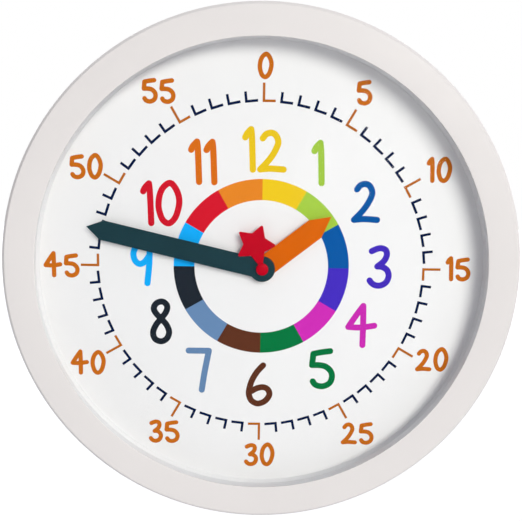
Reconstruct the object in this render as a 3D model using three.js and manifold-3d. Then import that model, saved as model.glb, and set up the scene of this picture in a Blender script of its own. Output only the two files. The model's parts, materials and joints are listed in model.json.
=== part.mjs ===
// School wall clock, in millimetres. The pieces are drawn as the clock is read: x to the right,
// y towards 12 o'clock, z out of the wall, with the hands' axis at x = y = 0 and the wall at z = 0.
import * as THREE from 'three';
import { mergeVertices } from 'three/addons/utils/BufferGeometryUtils.js';
import Module from 'manifold-3d';

const wasm = await Module();
wasm.setup();

// Clearances
const seatGap = 0.25;
const fitGap = 0.12;
const runGap = 0.45;
const overrun = 1;

// Front case
const caseDiameter = 300;
const caseDepth = 40;
const rimFaceWidth = 18.7;
const caseWall = 2.6;
const caseDraft = 1;
const frontRound = 3;
const lipRound = 1;
const faceFall = 0.8;
const faceWall = 2;
const lipThickness = 2.6;
const seatWall = 1.6;
const seatDepth = 7;
const bossRadius = 3.1;
const bossCount = 6;
const bossHoleDepth = 10;

// Lens, card and dial plate
const lensThickness = 1.6;
const lensOverlap = 4.3;
const dialSpace = 9;
const cardThickness = 0.4;
const plateThickness = 2.2;
const plateRimWall = 1.6;
const flangeInset = 0.6;
const ribCount = 12;
const ribThickness = 1.8;
const ribHeight = 6;
const ribInnerRadius = 46;
const ribInset = 16;

// Screws
const screwRadius = 1.4;
const screwLength = 9;
const screwHeadRadius = 2.8;
const screwHeadHeight = 1.8;
const screwTopShare = 0.7;
const crossLength = 3.4;
const crossWidth = 0.7;
const crossDepth = 1;

// Hanger
const hangDrop = 54;
const hangerWidth = 46;
const hangerHeight = 24;
const hangerRound = 3;
const hangerThickness = 1.4;
const hangerWallGap = 2.6;
const hangerPostSpacing = 34;
const hangerPostRadius = 4.4;
const slotRadius = 2.3;
const keyholeRadius = 5;
const keyholeDrop = 9;

// Movement case
const movementRound = 3;
const axisToTop = 23.5;
const axisToDivider = 13.5;
const frontWall = 2;
const shellWall = 1.6;
const bayWall = 1.4;
const rearPivotDepth = 0.6;

// Bush, nut, washer and gasket
const bushWall = 1.15;
const bushFlange = 2;
const bushFlangeHeight = 1.2;
const bushReach = 0.4;
const nutAcrossFlats = 11;
const nutHeight = 1.5;
const nutSides = 6;
const washerWidth = 2.5;
const washerThickness = 0.5;
const gasketWidth = 9;
const gasketThickness = 1;

// Hands
const handThickness = 0.5;
const handGap = 0.3;
const hourWidth = 12.6;
const hourShoulder = 39.1;
const hourLength = 50.8;
const hourAngle = 52;
const minuteWidth = 11.6;
const minuteShoulder = 96.4;
const minuteLength = 105.5;
const minuteHubRadius = 7.6;
const minuteAngle = 283;
const secondAngle = 343.5;
const starDistance = 15.1;
const starRadius = 12.6;
const starRound = 0.8;
const starRootShare = 0.55;
const starPoints = 5;
const capRadius = 3.8;
const capHeight = 1.2;
const capEdge = 0.5;
const capTopShare = 0.75;
const capTopHeightShare = 0.8;

// Wheels and pinions
const wheelThickness = 1;
const arborRadius = 0.5;
const frontPivotDepth = 0.9;
const addendumShare = 0.85;
const dedendumShare = 1.25;
const toothTipShare = 0.11;
const toothRootShare = 0.24;
const rotorTeeth = 6;
const intermediateTeeth = 36;
const intermediateLeaves = 6;
const secondsTeeth = 30;
const secondsLeaves = 6;
const thirdTeeth = 45;
const thirdLeaves = 6;
const centreTeeth = 48;
const cannonTeeth = 10;
const motionTeeth = 30;
const motionLeaves = 8;
const hourTeeth = 32;
const settingTeeth = 10;
const rotorDistance = 7.84;
const intermediateDistance = 8.16;
const thirdDistance = 12.24;
const motionDistance = 9;
const rotorBearing = 150;
const intermediateBearing = 150;
const thirdBearing = 55;
const motionBearing = 200;
const settingBearing = 165;
const pipeGap = 0.3;
const cannonWall = 0.6;
const hourPipeWall = 0.7;
const motionPinRadius = 0.7;
const motionHubWall = 0.3;

// Rotor, stator and coil
const magnetRadius = 2.6;
const magnetThickness = 2;
const magnetWall = 1.95;
const magnetBackGap = 1.25;
const rotorAirGap = 0.5;
const statorRing = 2.2;
const statorArm = 4.2;
const statorThickness = 0.8;
const coilLength = 15;
const bobbinFlangeRadius = 3.3;
const bobbinFlangeThickness = 0.8;
const bobbinBore = 1.3;
const bobbinTubeWall = 0.5;
const windingInset = 0.3;
const coreWidth = 2;
const coreThickness = 0.8;

// Bridge posts, setting knob and circuit board
const postRadius = 1.8;
const bridgePostInset = 3.9;
const settingShaftRadius = 1.4;
const knobRadius = 5;
const knobThickness = 3.2;
const knobWallGap = 1.8;
const knobFlutes = 12;
const fluteRadius = 0.7;
const boardWidth = 14.4;
const boardHeight = 13.8;
const boardThickness = 1;
const boardPostRadius = 1.6;
const boardPostInset = 3.2;
const chipRadius = 2.8;
const chipHeight = 0.9;
const chipTopShare = 0.7;
const chipPlaceShare = 0.33;
const crystalPlaceShare = 0.75;
const crystalRadius = 1;
const crystalLength = 6;

// AA cell and its contacts
const cellRadius = 7.25;
const cellLength = 50.5;
const cellRound = 0.8;
const nubRadius = 2.75;
const nubLength = 1;
const cellGap = 0.75;
const contactGap = 0.5;
const contactThickness = 0.4;
const contactWidth = 9;
const contactHeight = 9;
const contactBulge = 0.35;
const strapWidth = 2;
const strapReach = 2.5;

// Steps round a circle
const rimSteps = 64;
const roundSteps = 20;
const smallSteps = 10;
const arcSteps = 3;

// Radii and depths that follow
const half = 0.5;
const caseRadius = caseDiameter * half;
const openingRadius = caseRadius - rimFaceWidth;
const hangHeight = caseRadius - hangDrop;
const lensRadius = openingRadius + lensOverlap;
const seatRadius = lensRadius + seatGap;
const cardRadius = lensRadius - plateRimWall - seatGap;
const lipFront = caseDepth;
const shoulderFront = caseDepth - faceFall;
const lipBack = lipFront - lipThickness;
const lensFront = lipBack - seatGap;
const lensBack = lensFront - lensThickness;
const cardFront = lensBack - dialSpace;
const cardBack = cardFront - cardThickness;
const plateFront = cardBack - seatGap;
const plateBack = plateFront - plateThickness;
const gasketFront = plateBack - seatGap;
const gasketBack = gasketFront - gasketThickness;
const movementFront = gasketBack - seatGap;
const innerFront = movementFront - frontWall;
const pocketFront = shoulderFront - faceWall;
const flangeRadius = innerWallRadius(plateBack) - flangeInset;
const bossCircle = (seatRadius + seatWall + innerWallRadius(plateFront)) * half;

const cannonBore = arborRadius + pipeGap;
const cannonRadius = cannonBore + cannonWall;
const hourPipeBore = cannonRadius + pipeGap;
const hourPipeRadius = hourPipeBore + hourPipeWall;
const bushBore = hourPipeRadius + pipeGap;
const bushRadius = bushBore + bushWall;
const motionHubRadius = motionPinRadius + fitGap + motionHubWall;

const washerBack = cardFront + seatGap;
const nutBack = washerBack + washerThickness + seatGap;
const bushFront = nutBack + nutHeight + bushReach;
const hourBack = bushFront + handGap;
const hourPipeFront = hourBack + handThickness + seatGap;
const minuteBack = hourPipeFront + handGap;
const minutePipeFront = minuteBack + handThickness + seatGap;
const secondBack = minutePipeFront + handGap;
const secondFront = secondBack + handThickness;

// The case's wall leans in towards the wall by its draft
function innerWallRadius(z) {
  return caseRadius - caseWall - caseDraft * (1 - z / caseDepth);
}

// The layers of wheels, named from the dial towards the wall, and the front face of each
const layerOrder = ['motion', 'cannon', 'centre', 'third', 'seconds', 'rotor'];

function layerFront(layer) {
  return innerFront - runGap - layerOrder.indexOf(layer) * (wheelThickness + runGap);
}

const magnetFront = layerFront('rotor') - wheelThickness - runGap;
const magnetBack = magnetFront - magnetThickness;
const innerBack = magnetBack - magnetBackGap;
const movementBack = innerBack - shellWall;
const bobbinDepth = innerBack + seatGap + bobbinFlangeRadius;
const statorFront = bobbinDepth - coreThickness * half - seatGap;
const statorBack = statorFront - statorThickness;

// Module of a pair of wheels from their distance and teeth
function moduleOf(distance, teeth, otherTeeth) {
  return 2 * distance / (teeth + otherTeeth);
}

const rotorModule = moduleOf(rotorDistance, rotorTeeth, intermediateTeeth);
const intermediateModule = moduleOf(intermediateDistance, intermediateLeaves, secondsTeeth);
const secondsModule = moduleOf(thirdDistance, secondsLeaves, thirdTeeth);
const thirdModule = moduleOf(thirdDistance, thirdLeaves, centreTeeth);
const cannonModule = moduleOf(motionDistance, cannonTeeth, motionTeeth);
const motionModule = moduleOf(motionDistance, motionLeaves, hourTeeth);
const settingDistance = cannonModule * (motionTeeth + settingTeeth) * half;

function polar(distance, degrees, from = [0, 0]) {
  const angle = THREE.MathUtils.degToRad(degrees);
  return [from[0] + distance * Math.cos(angle), from[1] + distance * Math.sin(angle)];
}

const centreAxis = [0, 0];
const intermediateAxis = polar(intermediateDistance, intermediateBearing);
const rotorAxis = polar(rotorDistance, rotorBearing, intermediateAxis);
const thirdAxis = polar(thirdDistance, thirdBearing);
const motionAxis = polar(motionDistance, motionBearing);
const settingAxis = polar(settingDistance, settingBearing, motionAxis);

// Solids: each is one closed body
function solidOf(geometry) {
  geometry.deleteAttribute('normal');
  geometry.deleteAttribute('uv');
  const merged = mergeVertices(geometry);
  const corners = merged.index.array;
  const triangles = [];
  for (let i = 0; i < corners.length; i += 3) {
    const [a, b, c] = corners.subarray(i, i + 3);
    if (a !== b && b !== c && c !== a) {
      triangles.push(a, b, c);
    }
  }
  return new wasm.Manifold(new wasm.Mesh({
    numProp: 3,
    vertProperties: new Float32Array(merged.attributes.position.array),
    triVerts: new Uint32Array(triangles),
  }));
}

function geometryOf(solid) {
  const mesh = solid.getMesh();
  const geometry = new THREE.BufferGeometry();
  geometry.setAttribute('position', new THREE.BufferAttribute(mesh.vertProperties, 3));
  geometry.setIndex(new THREE.BufferAttribute(mesh.triVerts, 1));
  geometry.computeVertexNormals();
  return geometry;
}

function join(...solids) {
  return solids.reduce((whole, solid) => whole.add(solid));
}

function cut(solid, ...tools) {
  return tools.reduce((whole, tool) => whole.subtract(tool), solid);
}

// A closed outline of [radius, depth] points turned round the z axis
function turned(outline, steps = roundSteps) {
  const signedArea = outline.reduce((sum, [r, z], i) => {
    const [nextR, nextZ] = outline[(i + 1) % outline.length];
    return sum + r * nextZ - nextR * z;
  }, 0);
  const ordered = signedArea > 0 ? [...outline] : [...outline].reverse();
  const points = [...ordered, ordered[0]].map(([r, z]) => new THREE.Vector2(r, z));
  return solidOf(new THREE.LatheGeometry(points, steps).rotateX(Math.PI * half));
}

function ring(outer, inner, back, front, steps = roundSteps) {
  return turned([[inner, back], [outer, back], [outer, front], [inner, front]], steps);
}

function rod(radius, back, front, steps = roundSteps) {
  return solidOf(new THREE.CylinderGeometry(radius, radius, front - back, steps)
    .rotateX(Math.PI * half)
    .translate(0, 0, (front + back) * half));
}

function block(left, right, bottom, top, back, front) {
  return solidOf(new THREE.BoxGeometry(right - left, top - bottom, front - back)
    .translate((right + left) * half, (top + bottom) * half, (front + back) * half));
}

function prism(shape, back, front, curveSteps = arcSteps) {
  const settings = { depth: front - back, bevelEnabled: false, curveSegments: curveSteps };
  return solidOf(new THREE.ExtrudeGeometry(shape, settings).translate(0, 0, back));
}

function at([x, y], solid) {
  return solid.translate(x, y, 0);
}

function outlineShape(points) {
  return new THREE.Shape(points.map(([x, y]) => new THREE.Vector2(x, y)));
}

function roundedShape(left, right, bottom, top, radius) {
  const shape = new THREE.Shape();
  const quarter = Math.PI * half;
  shape.absarc(right - radius, bottom + radius, radius, -quarter, 0);
  shape.absarc(right - radius, top - radius, radius, 0, quarter);
  shape.absarc(left + radius, top - radius, radius, quarter, Math.PI);
  shape.absarc(left + radius, bottom + radius, radius, Math.PI, Math.PI + quarter);
  return shape;
}

// A straight bar with round ends from one place to another
function bar([x, y], [endX, endY], width, back, front) {
  const radius = width * half;
  const length = Math.hypot(endX - x, endY - y);
  const shape = new THREE.Shape();
  shape.absarc(length, 0, radius, -Math.PI * half, Math.PI * half);
  shape.absarc(0, 0, radius, Math.PI * half, Math.PI * (1 + half));
  const turn = THREE.MathUtils.radToDeg(Math.atan2(endY - y, endX - x));
  return prism(shape, back, front, 2 * arcSteps).rotate([0, 0, turn]).translate(x, y, 0);
}

function arcPoints(centreR, centreZ, radius, from, to) {
  return Array.from({ length: arcSteps + 1 }, (_, i) => {
    const angle = THREE.MathUtils.degToRad(from + (to - from) * i / arcSteps);
    return [centreR + radius * Math.cos(angle), centreZ + radius * Math.sin(angle)];
  });
}

// Toothed wheels: phase is the direction of one tooth's middle, in radians
function gear(teeth, module, phase, front, bore = 0) {
  const step = 2 * Math.PI / teeth;
  const pitchRadius = module * teeth * half;
  const tip = pitchRadius + module * addendumShare;
  const root = pitchRadius - module * dedendumShare;
  const points = [];
  for (let i = 0; i < teeth; i += 1) {
    const middle = phase + i * step;
    for (const [radius, share] of [[root, -toothRootShare], [tip, -toothTipShare],
      [tip, toothTipShare], [root, toothRootShare]]) {
      points.push([radius * Math.cos(middle + share * step), radius * Math.sin(middle + share * step)]);
    }
  }
  const shape = outlineShape(points);
  if (bore > 0) {
    shape.holes.push(new THREE.Path().absarc(0, 0, bore, 0, 2 * Math.PI, true));
  }
  return prism(shape, front - wheelThickness, front, roundSteps);
}

// Phase of a wheel whose gaps take the teeth of the wheel that it meets in the given direction
function meshedPhase(teeth, phase, bearing, otherTeeth) {
  const direction = THREE.MathUtils.degToRad(bearing);
  const offset = (direction - phase) * teeth;
  return direction + Math.PI + (offset - Math.PI) / otherTeeth;
}

const intermediatePhase = meshedPhase(rotorTeeth, 0, rotorBearing + 180, intermediateTeeth);
const secondsPhase = meshedPhase(intermediateLeaves, 0, intermediateBearing + 180, secondsTeeth);
const thirdPhase = meshedPhase(secondsLeaves, 0, thirdBearing, thirdTeeth);
const centrePhase = meshedPhase(thirdLeaves, 0, thirdBearing + 180, centreTeeth);
const motionPhase = meshedPhase(cannonTeeth, 0, motionBearing, motionTeeth);
const hourPhase = meshedPhase(motionLeaves, 0, motionBearing + 180, hourTeeth);
const settingPhase = meshedPhase(motionTeeth, motionPhase, settingBearing, settingTeeth);

// Materials
function finish(color, roughness, metalness = 0) {
  return new THREE.MeshStandardMaterial({ color, roughness, metalness });
}

const casePlastic = finish(0xe5e2dd, 0.42);
const lensPlastic = new THREE.MeshStandardMaterial({
  color: 0xf4f8fa,
  roughness: 0.05,
  metalness: 0,
  transparent: true,
  opacity: 0.2,
});
const cardPrint = finish(0xf3f3f4, 0.6);
const platePlastic = finish(0xd9d9d6, 0.5);
const movementPlastic = finish(0x2b2c2e, 0.5);
const wheelPlastic = finish(0xe9e4d2, 0.4);
const orangePaint = finish(0xd96400, 0.35);
const tealPaint = finish(0x1b3a42, 0.35);
const redPaint = finish(0xc00020, 0.35);
const steel = finish(0xb9bcc0, 0.35, 1);
const brass = finish(0xc9a24a, 0.35, 1);
const rubber = finish(0x1d1d1d, 0.85);
const copperWire = finish(0xa8552e, 0.4);
const boardGreen = finish(0x2f6b3c, 0.5);
const chipBlack = finish(0x151515, 0.6);
const magnetGrey = finish(0x4a4a4c, 0.4);
const cellSleeve = finish(0x3a4a57, 0.35);

const clock = new THREE.Group();

function add(name, solid, material, place = centreAxis) {
  const mesh = new THREE.Mesh(geometryOf(solid), material.clone());
  mesh.name = name;
  mesh.position.set(place[0], place[1], 0);
  clock.add(mesh);
}

function aroundCase(index) {
  return polar(bossCircle, (index + half) * 360 / bossCount);
}

// Front case: a turned rim with screw bosses in its pocket
function frontCase() {
  const roundCentre = caseRadius - frontRound;
  const rim = turned([
    [innerWallRadius(0), 0],
    [caseRadius - caseDraft, 0],
    ...arcPoints(roundCentre, shoulderFront - frontRound, frontRound, 0, 90),
    ...arcPoints(openingRadius + lipRound, lipFront - lipRound, lipRound, 90, 180),
    [openingRadius, lipBack],
    [seatRadius, lipBack],
    [seatRadius, lipBack - seatDepth],
    [seatRadius + seatWall, lipBack - seatDepth],
    [seatRadius + seatWall, pocketFront],
    [innerWallRadius(pocketFront), pocketFront],
  ], rimSteps);
  const bossBack = plateFront + seatGap;
  const bosses = [];
  const holes = [];
  for (let i = 0; i < bossCount; i += 1) {
    bosses.push(at(aroundCase(i), rod(bossRadius, bossBack, pocketFront + seatGap, smallSteps)));
    const hole = rod(screwRadius + fitGap, bossBack - overrun, bossBack + bossHoleDepth, smallSteps);
    holes.push(at(aroundCase(i), hole));
  }
  return cut(join(rim, ...bosses), ...holes);
}

function dialPlate() {
  const bore = bushRadius + seatGap;
  const rimRadius = lensRadius;
  const plate = turned([
    [bore, plateBack],
    [flangeRadius, plateBack],
    [flangeRadius, plateFront],
    [rimRadius, plateFront],
    [rimRadius, lensBack - seatGap],
    [rimRadius - plateRimWall, lensBack - seatGap],
    [rimRadius - plateRimWall, plateFront],
    [bore, plateFront],
  ], rimSteps);
  const ribs = [];
  for (let i = 0; i < ribCount; i += 1) {
    const rib = block(
      ribInnerRadius,
      flangeRadius - ribInset,
      -ribThickness * half,
      ribThickness * half,
      plateBack - ribHeight,
      plateBack + plateThickness * half,
    );
    ribs.push(rib.rotate([0, 0, (i + half) * 360 / ribCount]));
  }
  const postBack = hangerWallGap + hangerThickness + seatGap;
  const posts = [];
  const holes = [];
  for (const side of [-1, 1]) {
    const place = [side * hangerPostSpacing * half, hangHeight];
    posts.push(at(place, rod(hangerPostRadius, postBack, plateBack + plateThickness * half)));
    const hole = rod(screwRadius + fitGap, postBack - overrun, postBack + bossHoleDepth, smallSteps);
    holes.push(at(place, hole));
  }
  for (let i = 0; i < bossCount; i += 1) {
    const hole = rod(screwRadius + seatGap, plateBack - overrun, plateFront + overrun, smallSteps);
    holes.push(at(aroundCase(i), hole));
  }
  return cut(join(plate, ...ribs, ...posts), ...holes);
}

// Pan-head screw driven from the rear: the head's seat is its front
function screw(seat) {
  const back = seat - screwHeadHeight;
  const solid = turned([
    [0, back],
    [screwHeadRadius * screwTopShare, back],
    [screwHeadRadius, seat - screwHeadHeight * half],
    [screwHeadRadius, seat],
    [screwRadius, seat],
    [screwRadius, seat + screwLength - screwRadius],
    [0, seat + screwLength],
  ], smallSteps);
  const long = crossLength * half;
  const narrow = crossWidth * half;
  return cut(
    solid,
    block(-long, long, -narrow, narrow, back - overrun, back + crossDepth),
    block(-narrow, narrow, -long, long, back - overrun, back + crossDepth),
  );
}

function hangerPlate() {
  const back = hangerWallGap;
  const front = back + hangerThickness;
  const width = hangerWidth * half;
  const height = hangerHeight * half;
  const shape = roundedShape(-width, width, hangHeight - height, hangHeight + height, hangerRound);
  const entry = [0, hangHeight - keyholeDrop + slotRadius];
  const holes = [
    at(entry, rod(keyholeRadius, back - overrun, front + overrun)),
    bar([0, hangHeight], entry, 2 * slotRadius, back - overrun, front + overrun),
  ];
  for (const side of [-1, 1]) {
    const hole = rod(screwRadius + seatGap, back - overrun, front + overrun, smallSteps);
    holes.push(at([side * hangerPostSpacing * half, hangHeight], hole));
  }
  return cut(prism(shape, back, front), ...holes);
}

// Movement: the battery bay lies below the wheels
const bayRight = cellLength * half + contactGap + contactThickness + seatGap;
const bayLeft = -bayRight;
const movementRight = bayRight + shellWall;
const movementLeft = -movementRight;
const movementTop = axisToTop;
const dividerTop = -axisToDivider;
const bayTop = dividerTop - bayWall;
const bayBottom = bayTop - 2 * (cellRadius + cellGap);
const movementBottom = bayBottom - shellWall;
const shellBottom = dividerTop + seatGap;
const roomBottom = shellBottom + shellWall;
const roomTop = movementTop - shellWall;
const cellAxisY = (bayBottom + bayTop) * half;
const cellDepth = innerFront - seatGap - cellRadius;
const bayBack = cellDepth - cellRadius * half;
const boardRight = bayRight - contactThickness - 2 * seatGap - fitGap;
const boardLeft = boardRight - boardWidth;
const boardBottom = roomBottom + contactThickness + 2 * seatGap;
const boardTop = boardBottom + boardHeight;
const boardBack = magnetFront - boardThickness * half;
const boardFront = boardBack + boardThickness;
const boardPosts = [
  [boardRight - boardPostInset, boardBottom + boardPostInset],
  [boardRight - boardPostInset, boardTop - boardPostInset],
];
const strapBack = boardBack - strapWidth * half;
const strapFront = strapBack + strapWidth;
const bridgeFront = layerFront('third');
const bridgeBack = bridgeFront - wheelThickness;
const coilHeight = roomTop - seatGap - bobbinFlangeRadius;
const coilCentreX = bayLeft + statorArm + 2 * seatGap + coilLength * half;
const bobbinTubeRadius = bobbinBore + bobbinTubeWall;
const windingRadius = bobbinFlangeRadius - windingInset;
const coreReach = coilLength * half + seatGap + statorArm;
const postX = bayLeft + bridgePostInset;
const bridgePosts = [
  [postX, coilHeight - bobbinFlangeRadius - seatGap - postRadius],
  [postX, roomBottom + seatGap + postRadius],
];

function strapSlot(left, right) {
  return block(left, right, bayTop - overrun, roomBottom + overrun, movementBack - overrun,
    strapFront + seatGap);
}

function movementFrontCase() {
  const outer = roundedShape(movementLeft, movementRight, movementBottom, movementTop, movementRound);
  const floor = prism(outer, innerFront, movementFront);
  const bayShape = roundedShape(movementLeft, movementRight, movementBottom, dividerTop, movementRound);
  const bay = cut(
    prism(bayShape, bayBack, innerFront + frontWall * half),
    block(bayLeft, bayRight, bayBottom, bayTop, bayBack - overrun, innerFront),
  );
  const into = innerFront + frontWall * half;
  const posts = bridgePosts.map((place) => at(place, rod(postRadius, bridgeFront + seatGap, into)));
  const boardRods = boardPosts.map((place) => {
    const post = rod(boardPostRadius, boardFront + seatGap, into, smallSteps);
    return at(place, post);
  });
  const motionPinBack = layerFront('cannon') - wheelThickness + seatGap;
  const motionPin = at(motionAxis, rod(motionPinRadius, motionPinBack, into, smallSteps));
  const pivotTop = innerFront + frontPivotDepth + seatGap;
  const pivotHole = rod(arborRadius + fitGap, innerFront - overrun, pivotTop, smallSteps);
  return cut(
    join(floor, bay, ...posts, ...boardRods, motionPin),
    rod(hourPipeRadius + seatGap, innerFront - overrun, movementFront + overrun),
    rod(bushRadius + bushFlange + fitGap, movementFront - bushFlangeHeight - 2 * fitGap,
      movementFront + overrun),
    at(thirdAxis, pivotHole),
    at(settingAxis, pivotHole),
    strapSlot(bayRight - contactThickness - 2 * seatGap, bayRight),
    strapSlot(bayLeft, bayLeft + contactThickness + 2 * seatGap),
  );
}

function movementBackCase() {
  const outer = roundedShape(movementLeft, movementRight, shellBottom, movementTop, movementRound);
  const inner = roundedShape(bayLeft, bayRight, roomBottom, roomTop, movementRound - shellWall);
  const pivot = rod(arborRadius + fitGap, innerBack - rearPivotDepth, innerBack + overrun, smallSteps);
  return cut(
    prism(outer, movementBack, innerFront - seatGap),
    prism(inner, innerBack, innerFront),
    pivot,
    at(intermediateAxis, pivot),
    at(rotorAxis, pivot),
    at(thirdAxis, pivot),
    at(settingAxis, rod(settingShaftRadius + fitGap, movementBack - overrun, innerBack + overrun)),
    block(bayRight - contactThickness - 2 * seatGap, bayRight, shellBottom - overrun,
      roomBottom + overrun, strapBack - seatGap, strapFront + seatGap),
    block(bayLeft, bayLeft + contactThickness + 2 * seatGap, shellBottom - overrun,
      roomBottom + overrun, strapBack - seatGap, strapFront + seatGap),
  );
}

function trainBridge() {
  const [upper, lower] = bridgePosts;
  const width = 2 * postRadius;
  const bars = [
    bar(upper, lower, width, bridgeBack, bridgeFront),
    bar(upper, rotorAxis, width, bridgeBack, bridgeFront),
    bar(rotorAxis, intermediateAxis, width, bridgeBack, bridgeFront),
  ];
  const hole = rod(arborRadius + fitGap, bridgeBack - overrun, bridgeFront + overrun, smallSteps);
  return cut(join(...bars), at(rotorAxis, hole), at(intermediateAxis, hole));
}

const pivotBack = innerBack - rearPivotDepth + fitGap;
const pivotFront = innerFront + frontPivotDepth;

function rotorPinion() {
  return join(
    gear(rotorTeeth, rotorModule, 0, layerFront('rotor')),
    rod(arborRadius, pivotBack, bridgeFront, smallSteps),
  );
}

function intermediateWheel() {
  return join(
    gear(intermediateTeeth, rotorModule, intermediatePhase, layerFront('rotor')),
    gear(intermediateLeaves, intermediateModule, 0, layerFront('seconds')),
    rod(arborRadius, pivotBack, bridgeFront, smallSteps),
  );
}

function secondsWheel() {
  return join(
    gear(secondsTeeth, intermediateModule, secondsPhase, layerFront('seconds')),
    gear(secondsLeaves, secondsModule, 0, layerFront('third')),
    rod(arborRadius, pivotBack, secondFront + fitGap, smallSteps),
  );
}

function thirdWheel() {
  return join(
    gear(thirdTeeth, secondsModule, thirdPhase, layerFront('third')),
    gear(thirdLeaves, thirdModule, 0, layerFront('centre')),
    rod(arborRadius, pivotBack, pivotFront, smallSteps),
  );
}

function centreWheel() {
  return gear(centreTeeth, thirdModule, centrePhase, layerFront('centre'), cannonRadius + fitGap);
}

function cannonPinion() {
  const back = layerFront('centre') - wheelThickness;
  return cut(
    join(
      rod(cannonRadius, back, minutePipeFront),
      gear(cannonTeeth, cannonModule, 0, layerFront('cannon')),
    ),
    rod(cannonBore, back - overrun, minutePipeFront + overrun, smallSteps),
  );
}

function motionWheel() {
  const back = layerFront('cannon') - wheelThickness;
  const front = layerFront('motion');
  return cut(
    join(
      gear(motionTeeth, cannonModule, motionPhase, layerFront('cannon')),
      gear(motionLeaves, motionModule, 0, front),
      rod(motionHubRadius, back, front, smallSteps),
    ),
    rod(motionPinRadius + fitGap, back - overrun, front + overrun, smallSteps),
  );
}

function hourWheel() {
  const back = layerFront('motion') - wheelThickness;
  return cut(
    join(
      gear(hourTeeth, motionModule, hourPhase, layerFront('motion')),
      rod(hourPipeRadius, back, hourPipeFront),
    ),
    rod(hourPipeBore, back - overrun, hourPipeFront + overrun),
  );
}

function settingKnob() {
  const front = knobWallGap + knobThickness;
  const flutes = [];
  for (let i = 0; i < knobFlutes; i += 1) {
    const place = polar(knobRadius + fluteRadius * half, i * 360 / knobFlutes);
    flutes.push(at(place, rod(fluteRadius, knobWallGap - overrun, front + overrun, smallSteps)));
  }
  const pinionBack = layerFront('cannon') - wheelThickness;
  return join(
    cut(rod(knobRadius, knobWallGap, front), ...flutes),
    rod(settingShaftRadius, front - overrun, pinionBack + wheelThickness * half, smallSteps),
    gear(settingTeeth, cannonModule, settingPhase, layerFront('cannon')),
    rod(arborRadius, pinionBack, pivotFront, smallSteps),
  );
}

function statorPlate() {
  const hole = magnetRadius + rotorAirGap;
  const reach = coreReach - statorArm * half;
  const arms = [coilCentreX - reach, coilCentreX + reach].flatMap((x) => {
    const elbow = [x, rotorAxis[1]];
    return [
      bar(rotorAxis, elbow, statorArm, statorBack, statorFront),
      bar(elbow, [x, coilHeight], statorArm, statorBack, statorFront),
    ];
  });
  return cut(
    join(at(rotorAxis, rod(hole + statorRing, statorBack, statorFront)), ...arms),
    at(rotorAxis, rod(hole, statorBack - overrun, statorFront + overrun)),
  );
}

function alongCoil(solid) {
  return solid.rotate([0, 90, 0]).translate(coilCentreX, coilHeight, bobbinDepth);
}

function coilCore() {
  return block(
    coilCentreX - coreReach,
    coilCentreX + coreReach,
    coilHeight - coreWidth * half,
    coilHeight + coreWidth * half,
    bobbinDepth - coreThickness * half,
    bobbinDepth + coreThickness * half,
  );
}

function coilBobbin() {
  const end = coilLength * half;
  const flange = end - bobbinFlangeThickness;
  return alongCoil(turned([
    [bobbinBore, -end],
    [bobbinFlangeRadius, -end],
    [bobbinFlangeRadius, -flange],
    [bobbinTubeRadius, -flange],
    [bobbinTubeRadius, flange],
    [bobbinFlangeRadius, flange],
    [bobbinFlangeRadius, end],
    [bobbinBore, end],
  ]));
}

function coilWinding() {
  const end = coilLength * half - bobbinFlangeThickness - seatGap;
  return alongCoil(ring(windingRadius, bobbinTubeRadius + fitGap, -end, end));
}

function shaftBush() {
  const back = movementFront - bushFlangeHeight - fitGap;
  return turned([
    [bushBore, back],
    [bushRadius + bushFlange, back],
    [bushRadius + bushFlange, movementFront - fitGap],
    [bushRadius, movementFront - fitGap],
    [bushRadius, bushFront],
    [bushBore, bushFront],
  ]);
}

function movementGasket() {
  return ring(bushRadius + gasketWidth, bushRadius + seatGap, gasketBack, gasketFront);
}

function bushWasher() {
  return ring(bushRadius + washerWidth, bushRadius + fitGap, washerBack, washerBack + washerThickness);
}

function bushNut() {
  const corner = nutAcrossFlats * half / Math.cos(Math.PI / nutSides);
  return cut(
    rod(corner, nutBack, nutBack + nutHeight, nutSides),
    rod(bushRadius + fitGap, nutBack - overrun, nutBack + nutHeight + overrun),
  );
}

// Hands are drawn pointing to 12 and turned clockwise to their place
function clockwise(solid, degrees) {
  return solid.rotate([0, 0, -degrees]);
}

function pointedBar(width, shoulder, length, front) {
  const side = width * half;
  const shape = new THREE.Shape();
  shape.absarc(0, 0, side, Math.PI, 2 * Math.PI);
  shape.lineTo(side, shoulder);
  shape.lineTo(0, length);
  shape.lineTo(-side, shoulder);
  return prism(shape, front - handThickness, front, smallSteps);
}

function hourHand() {
  const front = hourBack + handThickness;
  const blade = pointedBar(hourWidth, hourShoulder, hourLength, front);
  const bore = rod(hourPipeRadius + fitGap, hourBack - overrun, front + overrun);
  return clockwise(cut(blade, bore), hourAngle);
}

function minuteHand() {
  const front = minuteBack + handThickness;
  const blade = pointedBar(minuteWidth, minuteShoulder, minuteLength, front);
  const hub = rod(minuteHubRadius, minuteBack, front);
  const bore = rod(cannonRadius + fitGap, minuteBack - overrun, front + overrun);
  return clockwise(cut(join(blade, hub), bore), minuteAngle);
}

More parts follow.
